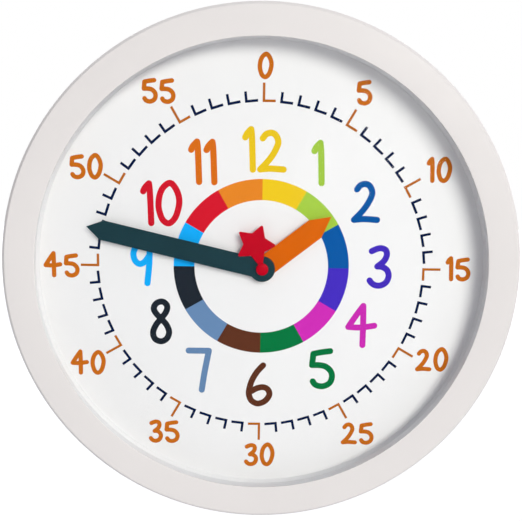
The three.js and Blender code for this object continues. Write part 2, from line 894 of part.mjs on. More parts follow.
// A star of rounded points, with the lowest one drawn out to the hub
function starOutline() {
  const rootRadius = starRadius * starRootShare;
  const step = Math.PI / starPoints;
  const tipAngle = Math.atan2(rootRadius * Math.sin(step), starRadius - rootRadius * Math.cos(step));
  const tipTurn = THREE.MathUtils.radToDeg(Math.PI * half - tipAngle);
  const tipCentre = starRadius - starRound / Math.sin(tipAngle);
  const points = [[0, 0]];
  for (let i = 1; i < 2 * starPoints; i += 1) {
    const direction = i * step - Math.PI * half;
    const along = THREE.MathUtils.radToDeg(direction);
    if (i % 2 === 0) {
      const centreX = tipCentre * Math.cos(direction);
      const centreY = starDistance + tipCentre * Math.sin(direction);
      points.push(...arcPoints(centreX, centreY, starRound, along - tipTurn, along + tipTurn));
    } else {
      points.push([rootRadius * Math.cos(direction), starDistance + rootRadius * Math.sin(direction)]);
    }
  }
  return outlineShape(points);
}

function secondHand() {
  const star = prism(starOutline(), secondBack, secondFront);
  const cap = turned([
    [0, secondBack],
    [capRadius, secondBack],
    [capRadius, secondFront + capEdge],
    [capRadius * capTopShare, secondFront + capHeight * capTopHeightShare],
    [0, secondFront + capHeight],
  ]);
  const bore = rod(arborRadius + fitGap, secondBack - overrun, secondFront + 2 * fitGap, smallSteps);
  return clockwise(cut(join(star, cap), bore), secondAngle);
}

function batteryCell() {
  const end = cellLength * half;
  const shoulder = end - nubLength;
  return turned([
    [0, -end],
    [cellRadius - cellRound, -end],
    [cellRadius, -end + cellRound],
    [cellRadius, shoulder - cellRound],
    [cellRadius - cellRound, shoulder],
    [nubRadius, shoulder],
    [nubRadius, end],
    [0, end],
  ]).rotate([0, 90, 0]).translate(0, cellAxisY, cellDepth);
}

function contactPositive() {
  const right = bayRight - seatGap;
  const left = right - contactThickness;
  const low = cellDepth - contactHeight * half;
  return join(
    block(left, right, cellAxisY - contactWidth * half, cellAxisY + contactWidth * half, low,
      low + contactHeight),
    block(left, right, cellAxisY, boardBottom + strapReach, strapBack, strapFront),
  );
}

function contactNegative() {
  const left = bayLeft + seatGap;
  const right = left + contactThickness;
  const wide = contactWidth * half;
  const low = cellDepth - contactHeight * half;
  const leaf = outlineShape([
    [left, cellAxisY - wide],
    [right, cellAxisY - wide],
    [right + contactBulge, cellAxisY],
    [right, cellAxisY + wide],
    [left, cellAxisY + wide],
  ]);
  const strapBottom = roomBottom + seatGap;
  const strapTop = strapBottom + contactThickness;
  return join(
    prism(leaf, low, low + contactHeight),
    block(left, right, cellAxisY, strapTop, strapBack, strapFront),
    block(left, boardLeft - seatGap, strapBottom, strapTop, strapBack, strapFront),
  );
}

function circuitBoard() {
  return block(boardLeft, boardRight, boardBottom, boardTop, boardBack, boardFront);
}

function onBoard(acrossShare, upShare) {
  return [boardLeft + boardWidth * acrossShare, boardBottom + boardHeight * upShare];
}

function circuitChip() {
  const front = boardBack - fitGap;
  return turned([
    [0, front - chipHeight],
    [chipRadius * chipTopShare, front - chipHeight],
    [chipRadius, front],
    [0, front],
  ], smallSteps);
}

function quartzCrystal() {
  return solidOf(new THREE.CylinderGeometry(crystalRadius, crystalRadius, crystalLength, smallSteps)
    .translate(0, 0, boardBack - fitGap - crystalRadius));
}

// The assembly
add('front_case', frontCase(), casePlastic);
add('lens', ring(lensRadius, 0, lensBack, lensFront, rimSteps), lensPlastic);
add('dial_card', ring(cardRadius, bushRadius + seatGap, cardBack, cardFront, rimSteps), cardPrint);
add('dial_plate', dialPlate(), platePlastic);
for (let i = 0; i < bossCount; i += 1) {
  add(`plate_screw_${i + 1}`, screw(plateBack - seatGap), steel, aroundCase(i));
}
add('hanger_plate', hangerPlate(), steel);
add('hanger_screw_left', screw(hangerWallGap - seatGap), steel, [-hangerPostSpacing * half, hangHeight]);
add('hanger_screw_right', screw(hangerWallGap - seatGap), steel, [hangerPostSpacing * half, hangHeight]);
add('movement_gasket', movementGasket(), rubber);
add('movement_front_case', movementFrontCase(), movementPlastic);
add('movement_back_case', movementBackCase(), movementPlastic);
add('shaft_bush', shaftBush(), brass);
add('bush_washer', bushWasher(), brass);
add('bush_nut', bushNut(), brass);
add('hour_hand', hourHand(), orangePaint);
add('minute_hand', minuteHand(), tealPaint);
add('second_hand', secondHand(), redPaint);
add('hour_wheel', hourWheel(), wheelPlastic);
add('cannon_pinion', cannonPinion(), wheelPlastic);
add('motion_wheel', motionWheel(), wheelPlastic, motionAxis);
add('centre_wheel', centreWheel(), wheelPlastic);
add('third_wheel', thirdWheel(), wheelPlastic, thirdAxis);
add('seconds_wheel', secondsWheel(), wheelPlastic);
add('intermediate_wheel', intermediateWheel(), wheelPlastic, intermediateAxis);
add('rotor_pinion', rotorPinion(), wheelPlastic, rotorAxis);
add('rotor_magnet', ring(magnetRadius, magnetRadius - magnetWall, magnetBack, magnetFront), magnetGrey,
  rotorAxis);
add('train_bridge', trainBridge(), movementPlastic);
add('setting_knob', settingKnob(), movementPlastic, settingAxis);
add('stator_plate', statorPlate(), steel);
add('coil_core', coilCore(), steel);
add('coil_bobbin', coilBobbin(), wheelPlastic);
add('coil_winding', coilWinding(), copperWire);
add('circuit_board', circuitBoard(), boardGreen);
add('circuit_chip', circuitChip(), chipBlack, onBoard(chipPlaceShare, chipPlaceShare));
add('quartz_crystal', quartzCrystal(), steel, onBoard(crystalPlaceShare, half));
add('contact_positive', contactPositive(), steel);
add('contact_negative', contactNegative(), steel);
add('battery_cell', batteryCell(), cellSleeve);

// Stand the clock up with its dial to the front and its hanging point at the origin
clock.rotation.x = Math.PI * half;
clock.position.z = -hangHeight;
const wallClock = new THREE.Group();
wallClock.add(clock);
wallClock.updateMatrixWorld(true);

export default wallClock;
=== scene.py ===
import json
import math

import bmesh
import bpy
from mathutils import Matrix, Quaternion, Vector
from mathutils.geometry import delaunay_2d_cdt


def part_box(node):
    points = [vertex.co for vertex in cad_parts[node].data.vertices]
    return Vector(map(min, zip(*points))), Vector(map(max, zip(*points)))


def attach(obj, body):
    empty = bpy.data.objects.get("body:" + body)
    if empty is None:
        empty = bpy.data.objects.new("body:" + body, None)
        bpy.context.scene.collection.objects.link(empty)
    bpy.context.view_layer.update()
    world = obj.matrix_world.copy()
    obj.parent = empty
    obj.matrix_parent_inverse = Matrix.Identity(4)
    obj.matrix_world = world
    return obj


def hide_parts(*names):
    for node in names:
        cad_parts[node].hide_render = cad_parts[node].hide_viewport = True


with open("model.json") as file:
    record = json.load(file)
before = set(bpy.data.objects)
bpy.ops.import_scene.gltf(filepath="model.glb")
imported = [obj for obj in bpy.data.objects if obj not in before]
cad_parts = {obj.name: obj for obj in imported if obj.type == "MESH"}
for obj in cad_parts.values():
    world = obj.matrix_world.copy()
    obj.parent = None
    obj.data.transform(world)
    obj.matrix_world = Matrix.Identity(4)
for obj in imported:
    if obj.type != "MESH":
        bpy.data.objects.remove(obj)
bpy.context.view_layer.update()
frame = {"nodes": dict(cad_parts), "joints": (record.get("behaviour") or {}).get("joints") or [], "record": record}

# Pieces are drawn as the clock is read, in millimetres: x to the right, y towards 12, z out of
# the wall, from the hands' axis. clockToWorld stands them up in the frame, in metres.
mm = 0.001
axisHeight = next(joint["pos_m"][2] for joint in frame["joints"] if joint["name"] == "minute_hand_turn")
clockToWorld = Matrix(((mm, 0, 0, 0), (0, 0, -mm, 0), (0, mm, 0, axisHeight), (0, 0, 0, 1)))
fullTurn = 2 * math.pi
bpy.context.scene.view_settings.view_transform = "Standard"


def depthOf(node):  # back and front of a node, out of the wall
    low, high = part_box(node)
    return -high.y / mm, -low.y / mm


def sidesOf(node):  # left, right, bottom and top of a node
    low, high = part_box(node)
    return low.x / mm, high.x / mm, (low.z - axisHeight) / mm, (high.z - axisHeight) / mm


def radiusOf(node):  # half the width of a round node
    left, right, _, _ = sidesOf(node)
    return (right - left) / 2


def centreOf(node):
    left, right, bottom, top = sidesOf(node)
    return Vector(((left + right) / 2, (bottom + top) / 2))


def onClock(distance, degrees):  # a place by its direction, clockwise from 12
    angle = math.radians(degrees)
    return Vector((distance * math.sin(angle), distance * math.cos(angle)))


# Node trees
def addNode(tree, kind, values=(), **settings):  # a value is a number or another node's output
    node = tree.nodes.new(kind)
    for key, value in settings.items():
        setattr(node, key, value)
    for socket, value in dict(values).items():
        if isinstance(value, bpy.types.NodeSocket):
            tree.links.new(value, node.inputs[socket])
        else:
            node.inputs[socket].default_value = value
    return node


def maths(tree, operation, first, second):
    return addNode(tree, "ShaderNodeMath", {0: first, 1: second}, operation=operation).outputs[0]


def mapped(tree, value, before, after=(0, 1)):  # a value brought from one range to another
    values = {"Value": value, "From Min": before[0], "From Max": before[1],
              "To Min": after[0], "To Max": after[1]}
    return addNode(tree, "ShaderNodeMapRange", values).outputs["Result"]


def surface(tree, closure):  # what the material shows
    tree.links.new(closure, tree.nodes["Material Output"].inputs["Surface"])


# Materials: every one reads Object coordinates, so its grain stays with the piece
noiseRange = (0.3, 0.7)  # nearly all of a noise lies in it


def newMaterial(name, colour, roughness, metallic=0.0, shine=0.5):
    material = bpy.data.materials.new(name)
    material.use_nodes = True
    shader = material.node_tree.nodes["Principled BSDF"]
    shader.inputs["Base Color"].default_value = (*colour, 1)
    shader.inputs["Roughness"].default_value = roughness
    shader.inputs["Metallic"].default_value = metallic
    shader.inputs["Specular IOR Level"].default_value = shine
    return material, shader


def objectCoordinates(material, stretch=(1, 1, 1)):
    place = addNode(material.node_tree, "ShaderNodeTexCoord").outputs["Object"]
    return addNode(material.node_tree, "ShaderNodeMapping", {"Scale": stretch, "Vector": place}).outputs[0]


def noise(material, scale, detail=3, stretch=(1, 1, 1)):  # scale in grains per metre
    values = {"Scale": scale, "Detail": detail, "Vector": objectCoordinates(material, stretch)}
    return addNode(material.node_tree, "ShaderNodeTexNoise", values).outputs["Fac"]


def uneven(material, scale, low, high, stretch=(1, 1, 1)):  # a noise that runs from low to high
    return mapped(material.node_tree, noise(material, scale, stretch=stretch), noiseRange, (low, high))


def tint(material, shader, colour, scale, amount):  # uneven colour
    values = {0: colour, "Scale": uneven(material, scale, 1 - amount, 1 + amount)}
    tinted = addNode(material.node_tree, "ShaderNodeVectorMath", values, operation="SCALE")
    material.node_tree.links.new(tinted.outputs["Vector"], shader.inputs["Base Color"])


def unevenGloss(material, shader, scale, low, high, stretch=(1, 1, 1)):
    material.node_tree.links.new(uneven(material, scale, low, high, stretch), shader.inputs["Roughness"])


def grain(material, shader, height, strength, depth):  # bump, with its depth in metres
    values = {"Strength": strength, "Distance": depth, "Height": height}
    before = shader.inputs["Normal"].links
    if before:
        values["Normal"] = before[0].from_socket
    bump = addNode(material.node_tree, "ShaderNodeBump", values)
    material.node_tree.links.new(bump.outputs["Normal"], shader.inputs["Normal"])


def mouldedPlastic(name, colour, roughness, grains=1500, depth=0.00002, shine=0.5):
    material, shader = newMaterial(name, colour, roughness, shine=shine)
    tint(material, shader, colour, scale=14, amount=0.012)
    unevenGloss(material, shader, 60, roughness - 0.05, roughness + 0.05)
    grain(material, shader, noise(material, grains), 0.35, depth)
    grain(material, shader, noise(material, 30, 1), 0.3, depth)
    return material


def handPaint(name, colour):
    material, shader = newMaterial(name, colour, 0.4, shine=0.05)
    tint(material, shader, colour, scale=90, amount=0.04)
    unevenGloss(material, shader, 300, 0.34, 0.46)
    grain(material, shader, noise(material, 1800, 2), 0.3, 0.00001)
    return material


def platedSteel(name, colour, roughness, stretch=(1, 1, 6)):
    material, shader = newMaterial(name, colour, roughness, 1.0)
    tint(material, shader, colour, scale=160, amount=0.08)
    unevenGloss(material, shader, 500, roughness - 0.08, roughness + 0.1, stretch)
    grain(material, shader, noise(material, 1400, 2, stretch), 0.25, 0.00001)
    return material


def clearLens(name, colour):
    material, shader = newMaterial(name, (1, 1, 1), 0.05, 1.0)
    tree = material.node_tree
    clear = addNode(tree, "ShaderNodeBsdfTransparent", {"Color": (*colour, 1)})
    facing = addNode(tree, "ShaderNodeLayerWeight", {"Blend": 0.5}).outputs["Facing"]
    steep = maths(tree, "POWER", facing, 3)  # hardly any reflection until the lens is seen aslant
    share = mapped(tree, steep, (0, 1), (0.001, 0.5))
    mix = addNode(tree, "ShaderNodeMixShader",
                  {"Fac": share, 1: clear.outputs["BSDF"], 2: shader.outputs["BSDF"]})
    surface(tree, mix.outputs["Shader"])
    grain(material, shader, noise(material, 700, 1), 0.1, 0.000005)
    return material


def printedInk():  # every figure, tick and segment carries its own colour
    material, shader = newMaterial("printedInk", (0.5, 0.5, 0.5), 0.5, shine=0.03)
    colour = addNode(material.node_tree, "ShaderNodeAttribute", attribute_name="ink").outputs["Color"]
    tint(material, shader, colour, scale=700, amount=0.02)
    grain(material, shader, noise(material, 2600, 2), 0.15, 0.000008)
    return material


def dialPaper(name, colour):
    material, shader = newMaterial(name, colour, 0.75, shine=0.02)
    tint(material, shader, colour, scale=30, amount=0.006)
    unevenGloss(material, shader, 400, 0.7, 0.8)
    grain(material, shader, noise(material, 1800, 4), 0.2, 0.00001)
    return material


def wireWinding(name, colour):
    material, shader = newMaterial(name, colour, 0.3, 0.9)
    values = {"Scale": 1600, "Distortion": 0.4, "Vector": objectCoordinates(material)}
    turns = addNode(material.node_tree, "ShaderNodeTexWave", values, bands_direction="X")
    grain(material, shader, turns.outputs["Fac"], 0.9, 0.00006)  # each turn of wire stands out
    tint(material, shader, colour, scale=300, amount=0.15)
    return material


def cellWrap(name, colour, endColour):  # two plain bands along the cell
    material, shader = newMaterial(name, colour, 0.28, 0.4)
    tree = material.node_tree
    along = addNode(tree, "ShaderNodeSeparateXYZ", {"Vector": objectCoordinates(material)}).outputs["X"]
    bands = addNode(tree, "ShaderNodeValToRGB", {"Fac": mapped(tree, along, (-0.025, 0.025))})
    bands.color_ramp.interpolation = "CONSTANT"
    first, last = bands.color_ramp.elements
    first.color = (*colour, 1)
    last.position = 0.84
    last.color = (*endColour, 1)
    tree.links.new(bands.outputs["Color"], shader.inputs["Base Color"])
    grain(material, shader, noise(material, 900, 2), 0.1, 0.00001)
    return material


finishes = {
    "case_plastic": mouldedPlastic("casePlastic", (0.765, 0.733, 0.725), 0.42, shine=0.2),
    "lens_clear": clearLens("clearLens", (0.997, 0.997, 0.997)),
    "dial_print": dialPaper("dialPaper", (0.88, 0.884, 0.892)),
    "plate_plastic": mouldedPlastic("platePlastic", (0.815, 0.82, 0.83), 0.5, shine=0.2),
    "screw_steel": platedSteel("screwSteel", (0.55, 0.56, 0.58), 0.32),
    "hanger_steel": platedSteel("hangerSteel", (0.5, 0.51, 0.53), 0.38, (6, 1, 1)),
    "gasket_rubber": mouldedPlastic("gasketRubber", (0.012, 0.012, 0.012), 0.85, 900),
    "movement_plastic": mouldedPlastic("movementPlastic", (0.022, 0.023, 0.025), 0.48, 2600, 0.00005),
    "bush_brass": platedSteel("bushBrass", (0.58, 0.37, 0.09), 0.3),
    "hand_orange": handPaint("orangePaint", (0.69, 0.127, 0.0)),
    "hand_teal": handPaint("tealPaint", (0.011, 0.042, 0.054)),
    "hand_red": handPaint("redPaint", (0.527, 0.0, 0.014)),
    "wheel_plastic": mouldedPlastic("wheelPlastic", (0.82, 0.78, 0.65), 0.4, 2500),
    "rotor_ferrite": mouldedPlastic("rotorFerrite", (0.07, 0.07, 0.075), 0.6, 4000),
    "core_steel": platedSteel("coreSteel", (0.48, 0.5, 0.53), 0.4, (1, 8, 1)),
    "copper_wire": wireWinding("copperWinding", (0.42, 0.1, 0.03)),
    "board_laminate": mouldedPlastic("boardLaminate", (0.028, 0.147, 0.045), 0.45, 5000),
    "chip_resin": mouldedPlastic("chipResin", (0.007, 0.007, 0.008), 0.4, 6000),
    "crystal_can": platedSteel("crystalCan", (0.62, 0.63, 0.65), 0.22),
    "contact_nickel": platedSteel("contactNickel", (0.6, 0.58, 0.54), 0.26),
    "cell_sleeve": cellWrap("cellWrap", (0.05, 0.12, 0.2), (0.58, 0.59, 0.6)),
}
ink = printedInk()
print("materials:", len(finishes) + 1)


# Objects
def linked(name, data):
    obj = bpy.data.objects.new(name, data)
    bpy.context.scene.collection.objects.link(obj)
    return obj


def newObject(name, mesh, material):
    mesh.name = name
    mesh.materials.clear()
    mesh.materials.append(material)
    return linked(name, mesh)


def placed(name, mesh, body, slotName, *nodes, material=None):  # a finished piece joins the frame
    mesh.transform(clockToWorld)
    piece = newObject(name, mesh, material or finishes[slotName])
    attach(piece, body)
    if nodes:
        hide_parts(*nodes)


def applied(obj, *helpers):  # the object's modifiers turned into a plain mesh
    graph = bpy.context.evaluated_depsgraph_get()
    mesh = bpy.data.meshes.new_from_object(obj.evaluated_get(graph))
    for spent in (obj, *helpers):
        bpy.data.objects.remove(spent)
    return mesh


# Meshes, in millimetres
outlineGap = 1e-6  # points of an outline that are closer than this become one
drawnGap = 1e-5  # so do points of a drawn body
weldGap = 1e-4  # and those of a cut one
flatAngle = 0.01  # radians, faces that differ by less are joined
sharpEdge = 35  # degrees, edges sharper than this aren't smoothed
bevelledEdge = 40  # degrees, edges sharper than this are bevelled
squareToAxis = 0.9999  # cosine, faces this square to the axis aren't smoothed
sheetFace = 0.999  # the same on a bevelled sheet
cornerSteps = 8
past = 1  # how far a cut runs past a face
sunk = 0.5  # how far joined forms lie in each other


def edited(mesh, *steps):  # works each step on the mesh
    work = bmesh.new()
    work.from_mesh(mesh)
    for step in steps:
        step(work)
    work.to_mesh(mesh)
    work.free()
    return mesh


def cleaned(work):  # merges what is drawn twice, drops spare points and turns faces outwards
    bmesh.ops.remove_doubles(work, verts=work.verts, dist=drawnGap)
    bmesh.ops.recalc_face_normals(work, faces=work.faces)
    bmesh.ops.delete(work, geom=[v for v in work.verts if not v.link_faces], context="VERTS")


def welded(work):
    bmesh.ops.remove_doubles(work, verts=work.verts, dist=weldGap)


def flatsJoined(work):
    bmesh.ops.dissolve_limit(work, angle_limit=flatAngle, verts=work.verts, edges=work.edges)


def sealed(work):  # removes slivers and closes the hairline cracks that a cut can leave
    bmesh.ops.dissolve_degenerate(work, edges=work.edges, dist=weldGap)
    cracks = [edge for edge in work.edges if edge.is_boundary]
    bmesh.ops.holes_fill(work, edges=cracks, sides=0)


def shaded(mesh, sharpAngle):
    mesh.shade_smooth()
    mesh.set_sharp_from_angle(angle=math.radians(sharpAngle))
    return mesh


def keepFlat(mesh, limit):  # faces square to the axis stay flat
    for face in mesh.polygons:
        face.use_smooth = abs(face.normal.z) < limit
    return mesh


def meshOf(verts, faces):
    mesh = bpy.data.meshes.new("mesh")
    mesh.from_pydata([tuple(v) for v in verts], [], faces)
    return shaded(edited(mesh, cleaned), sharpEdge)


def fromFrame(node):  # a node's mesh as one closed body
    mesh = frame["nodes"][node].data.copy()
    mesh.transform(clockToWorld.inverted())
    return edited(mesh, welded, flatsJoined)


def finished(mesh, sharpAngle):
    return keepFlat(shaded(edited(mesh, welded, sealed), sharpAngle), squareToAxis)


def turned(outline, segments):  # a closed outline of (radius, depth) turned round the axis
    verts, rings = [], []
    for radius, depth in outline:
        if radius == 0:
            rings.append([len(verts)] * segments)
            verts.append((0, 0, depth))
            continue
        rings.append(range(len(verts), len(verts) + segments))
        for i in range(segments):
            angle = fullTurn * i / segments
            size = radius(angle) if callable(radius) else radius
            verts.append((size * math.cos(angle), size * math.sin(angle), depth))
    faces = []
    for here, there in zip(rings, rings[1:] + rings[:1]):
        for i in range(segments):
            after = (i + 1) % segments
            face = list(dict.fromkeys([here[i], here[after], there[after], there[i]]))
            if len(face) > 2:
                faces.append(face)
    return meshOf(verts, faces)


def arc(radius, depth, size, start, end, steps):  # part of a round in an outline
    angles = [math.radians(start + (end - start) * i / steps) for i in range(steps + 1)]
    return [(radius + size * math.cos(a), depth + size * math.sin(a)) for a in angles]


def thread(radius, back, front, pitch, depth):  # an outline that winds as a screw does
    rows = 6  # points to each turn
    count = round((front - back) / pitch * rows)
    outline = []
    for i in range(1, count):
        turns = i / rows
        fade = min(1, turns, (count - i) / rows)

        def size(angle, turns=turns, fade=fade):
            phase = (turns - angle / fullTurn) % 1
            return radius - depth * fade * (1 - abs(2 * phase - 1))

        outline.append((size, back + (front - back) * i / count))
    return outline


def moved(mesh, x, y, z=0):
    mesh.transform(Matrix.Translation((x, y, z)))
    return mesh


def rounded(left, right, bottom, top, radius):  # a rectangle with round corners
    outline = []
    for x, y, start in ((right - radius, bottom + radius, -90), (right - radius, top - radius, 0),
                        (left + radius, top - radius, 90), (left + radius, bottom + radius, 180)):
        outline += [Vector(p) for p in arc(x, y, radius, start, start + 90, cornerSteps)]
    return outline


def disc(centre, radius, sides):
    turns = [fullTurn * i / sides for i in range(sides)]
    return [Vector((centre[0] + radius * math.cos(a), centre[1] + radius * math.sin(a))) for a in turns]


def filled(shapes, holes=()):  # flat union of closed outlines, less the holes
    points, rings = [], []
    for outline in [*shapes, *holes]:
        area = sum(a[0] * b[1] - b[0] * a[1] for a, b in zip(outline, outline[1:] + outline[:1]))
        ordered = list(outline) if area > 0 else list(reversed(outline))
        rings.append(list(range(len(points), len(points) + len(ordered))))
        points += [Vector((p[0], p[1])) for p in ordered]
    flat, _, faces, _, _, sources = delaunay_2d_cdt(points, [], rings, 0, outlineGap)
    kept = []
    for face, source in zip(faces, sources):
        if source and max(source) < len(shapes):
            kept.append(list(face))
    return [tuple(p) for p in flat], kept


def slab(flat, faces, back, front):  # flat faces given a thickness
    count = len(flat)
    verts = [(x, y, front) for x, y in flat] + [(x, y, back) for x, y in flat]
    edges = {(a, b) for face in faces for a, b in zip(face, face[1:] + face[:1])}
    sides = [[a, a + count, b + count, b] for a, b in sorted(edges) if (b, a) not in edges]
    behind = [[i + count for i in reversed(face)] for face in faces]
    return meshOf(verts, faces + behind + sides)


def plate(outline, back, front, holes=()):
    return slab(*filled([outline], holes), back, front)


def block(left, right, bottom, top, back, front):
    corners = ((left, bottom), (right, bottom), (right, top), (left, top))
    return plate([Vector(p) for p in corners], back, front)


def rod(centre, radius, back, front, sides=32):
    return plate(disc(centre, radius, sides), back, front)


def combined(meshes):
    whole = bmesh.new()
    for mesh in meshes:
        whole.from_mesh(mesh)
    result = bpy.data.meshes.new("combined")
    whole.to_mesh(result)
    whole.free()
    return result


def cutOrJoined(mesh, tools, operation):  # union, difference or common part with other meshes
    base = newObject("work", mesh, ink)
    helpers = [newObject("tool", tool, ink) for tool in tools]
    for helper in helpers:
        modifier = base.modifiers.new("boolean", "BOOLEAN")
        modifier.operation = operation
        modifier.solver = "EXACT"
        modifier.object = helper
    return applied(base, *helpers)


def bevelled(mesh, width, segments):
    base = newObject("work", mesh, ink)
    modifier = base.modifiers.new("edges", "BEVEL")
    modifier.width = width
    modifier.segments = segments
    modifier.limit_method = "ANGLE"
    modifier.angle_limit = math.radians(bevelledEdge)
    modifier.use_clamp_overlap = True
    result = applied(base)
    result.shade_smooth()
    return keepFlat(result, sheetFace)


# One Geometry Nodes tree sets copies of a mesh round the axis, clockwise from 12
def roundTree(name, colours=()):
    tree = bpy.data.node_groups.new(name, "GeometryNodeTree")
    tree.interface.new_socket("Geometry", in_out="INPUT", socket_type="NodeSocketGeometry")
    sockets = {}
    for label, kind in (("Count", "Int"), ("First angle", "Float"), ("Left out, one in", "Int"),
                        ("Material", "Material")):
        socket = tree.interface.new_socket(label, in_out="INPUT", socket_type="NodeSocket" + kind)
        sockets[label] = socket.identifier
    tree.interface.new_socket("Geometry", in_out="OUTPUT", socket_type="NodeSocketGeometry")
    given = addNode(tree, "NodeGroupInput").outputs
    points = addNode(tree, "GeometryNodePoints", {"Count": given["Count"]})
    index = addNode(tree, "GeometryNodeInputIndex").outputs["Index"]
    step = maths(tree, "DIVIDE", -fullTurn, given["Count"])
    turn = maths(tree, "SUBTRACT", maths(tree, "MULTIPLY", index, step), given["First angle"])
    rotation = addNode(tree, "FunctionNodeAxisAngleToRotation", {"Axis": (0, 0, 1), "Angle": turn})
    shown = maths(tree, "GREATER_THAN", maths(tree, "MODULO", index, given["Left out, one in"]), 0.5)
    whole = maths(tree, "LESS_THAN", given["Left out, one in"], 0.5)
    copies = addNode(tree, "GeometryNodeInstanceOnPoints", {
        "Points": points.outputs[0],
        "Selection": maths(tree, "MAXIMUM", shown, whole),
        "Instance": given["Geometry"],
        "Rotation": rotation.outputs["Rotation"],
    })
    last = copies.outputs["Instances"]
    if colours:
        chosen = addNode(tree, "GeometryNodeIndexSwitch", data_type="RGBA")
        while len(chosen.index_switch_items) < len(colours):
            chosen.index_switch_items.new()
        tree.links.new(index, chosen.inputs["Index"])
        for i, colour in enumerate(colours):
            chosen.inputs[i + 1].default_value = (*colour, 1)
        values = {"Name": "ink", "Geometry": last, "Value": chosen.outputs[0]}
        store = addNode(tree, "GeometryNodeStoreNamedAttribute", values, data_type="FLOAT_COLOR",
                        domain="INSTANCE")
        last = store.outputs["Geometry"]
    real = addNode(tree, "GeometryNodeRealizeInstances", {"Geometry": last})
    values = {"Geometry": real.outputs["Geometry"], "Material": given["Material"]}
    paint = addNode(tree, "GeometryNodeSetMaterial", values)
    addNode(tree, "NodeGroupOutput", {0: paint.outputs["Geometry"]})
    return tree, sockets


def around(name, mesh, material, count, firstAngle=0, leftOut=0, colours=(), centre=(0, 0)):
    tree, sockets = roundTree(name + "Tree", colours)
    base = linked("work", mesh)
    modifier = base.modifiers.new("round", "NODES")
    modifier.node_group = tree
    modifier[sockets["Count"]] = count
    modifier[sockets["First angle"]] = math.radians(firstAngle)
    modifier[sockets["Left out, one in"]] = leftOut
    modifier[sockets["Material"]] = material
    return moved(applied(base), *centre)


# Front case: the rim with its rounded front, the lip over the lens, and bosses in its pocket
rim = {
    "wall": 2.6,
    "draft": 1.0,
    "bevelWidth": 2.1,
    "bevelTurn": 45,
    "bevelRound": 0.7,
    "lipRound": 0.3,
    "lipUndercut": 1.2,
    "rearRound": 0.5,
    "rearLand": 0.001,
    "faceFall": 0.8,
    "faceLean": 2,
    "faceWall": 2.0,
    "lipOverLens": 4.9,
    "lensGap": 0.05,
    "seatGap": 0.25,
    "seatWall": 1.6,
    "seatDepth": 7.0,
    "bossRadius": 3.1,
    "bossEdge": 0.2,
    "bossBore": 1.52,
    "bossDepth": 10.0,
    "bosses": 6,
    "segments": 288,
    "arcSteps": 8,
}
caseRadius = radiusOf("front_case")
caseFront = depthOf("front_case")[1]
lensRadius = radiusOf("lens")
lensBack, lensFront = depthOf("lens")
cardBack, cardFront = depthOf("dial_card")
opening = lensRadius - rim["lipOverLens"]


def innerWall(depth):
    return caseRadius - rim["wall"] - rim["draft"] * (1 - depth / caseFront)


def frontCase():
    lipBack = lensFront + rim["lensGap"]
    shoulder = caseFront - rim["faceFall"]
    pocket = shoulder - rim["faceWall"]
    seat = lensRadius + rim["seatGap"]
    seatEnd = lipBack - rim["seatDepth"]
    outer = caseRadius - rim["draft"]
    rear, lip, lean, steps = rim["rearRound"], rim["lipRound"], rim["faceLean"], rim["arcSteps"]
    bevel, turn, soft = rim["bevelWidth"], rim["bevelTurn"], rim["bevelRound"]
    low = bevel / math.tan(math.radians(turn)) + soft * math.tan(math.radians(turn / 2))
    inward = bevel + soft * math.tan(math.radians((90 - turn) / 2))
    outline = [
        (innerWall(0) + rim["rearLand"], 0),
        *arc(outer - rear, rear, rear, -90, 0, steps=3),
        *arc(caseRadius - soft, shoulder - low, soft, 0, turn, steps),
        *arc(caseRadius - inward, shoulder - soft, soft, turn, 90 - lean, steps),
        *arc(opening + lip, caseFront - lip, lip, 90 + lean, 180, steps),
        (opening + rim["lipUndercut"], lipBack),
        (seat, lipBack),
        (seat, seatEnd),
        (seat + rim["seatWall"], seatEnd),
        (seat + rim["seatWall"], pocket),
        (innerWall(pocket), pocket),
    ]
    whole = turned(outline, rim["segments"])
    circle = (seat + rim["seatWall"] + innerWall(cardBack - rim["seatGap"])) / 2
    radius, edge, bore = rim["bossRadius"], rim["bossEdge"], rim["bossBore"]
    boreEnd = cardBack + rim["bossDepth"]
    boss = turned([(0, cardBack), (radius - edge, cardBack), (radius, cardBack + edge),
                   (radius, pocket + sunk), (0, pocket + sunk)], segments=32)
    hole = turned([(0, cardBack - past), (bore, cardBack - past), (bore, boreEnd), (0, boreEnd)],
                  segments=24)
    bosses = around("bosses", moved(boss, 0, circle), ink, rim["bosses"])
    bores = around("bores", moved(hole, 0, circle), ink, rim["bosses"])
    whole = cutOrJoined(whole, [bosses], "UNION")
    whole = cutOrJoined(whole, [bores], "DIFFERENCE")
    placed("caseRim", finished(whole, sharpAngle=30), "case", "case_plastic", "front_case")


frontCase()
print("rim")

# Lens: a flat clear disc with a softened edge
clearDisc = {"edge": 0.2, "segments": 192}


def lens():
    edge = clearDisc["edge"]
    outline = [(0, lensBack), *arc(lensRadius - edge, lensBack + edge, edge, -90, 0, steps=2),
               *arc(lensRadius - edge, lensFront - edge, edge, 0, 90, steps=2), (0, lensFront)]
    placed("lensDisc", turned(outline, clearDisc["segments"]), "case", "lens_clear", "lens")


lens()
print("lens")

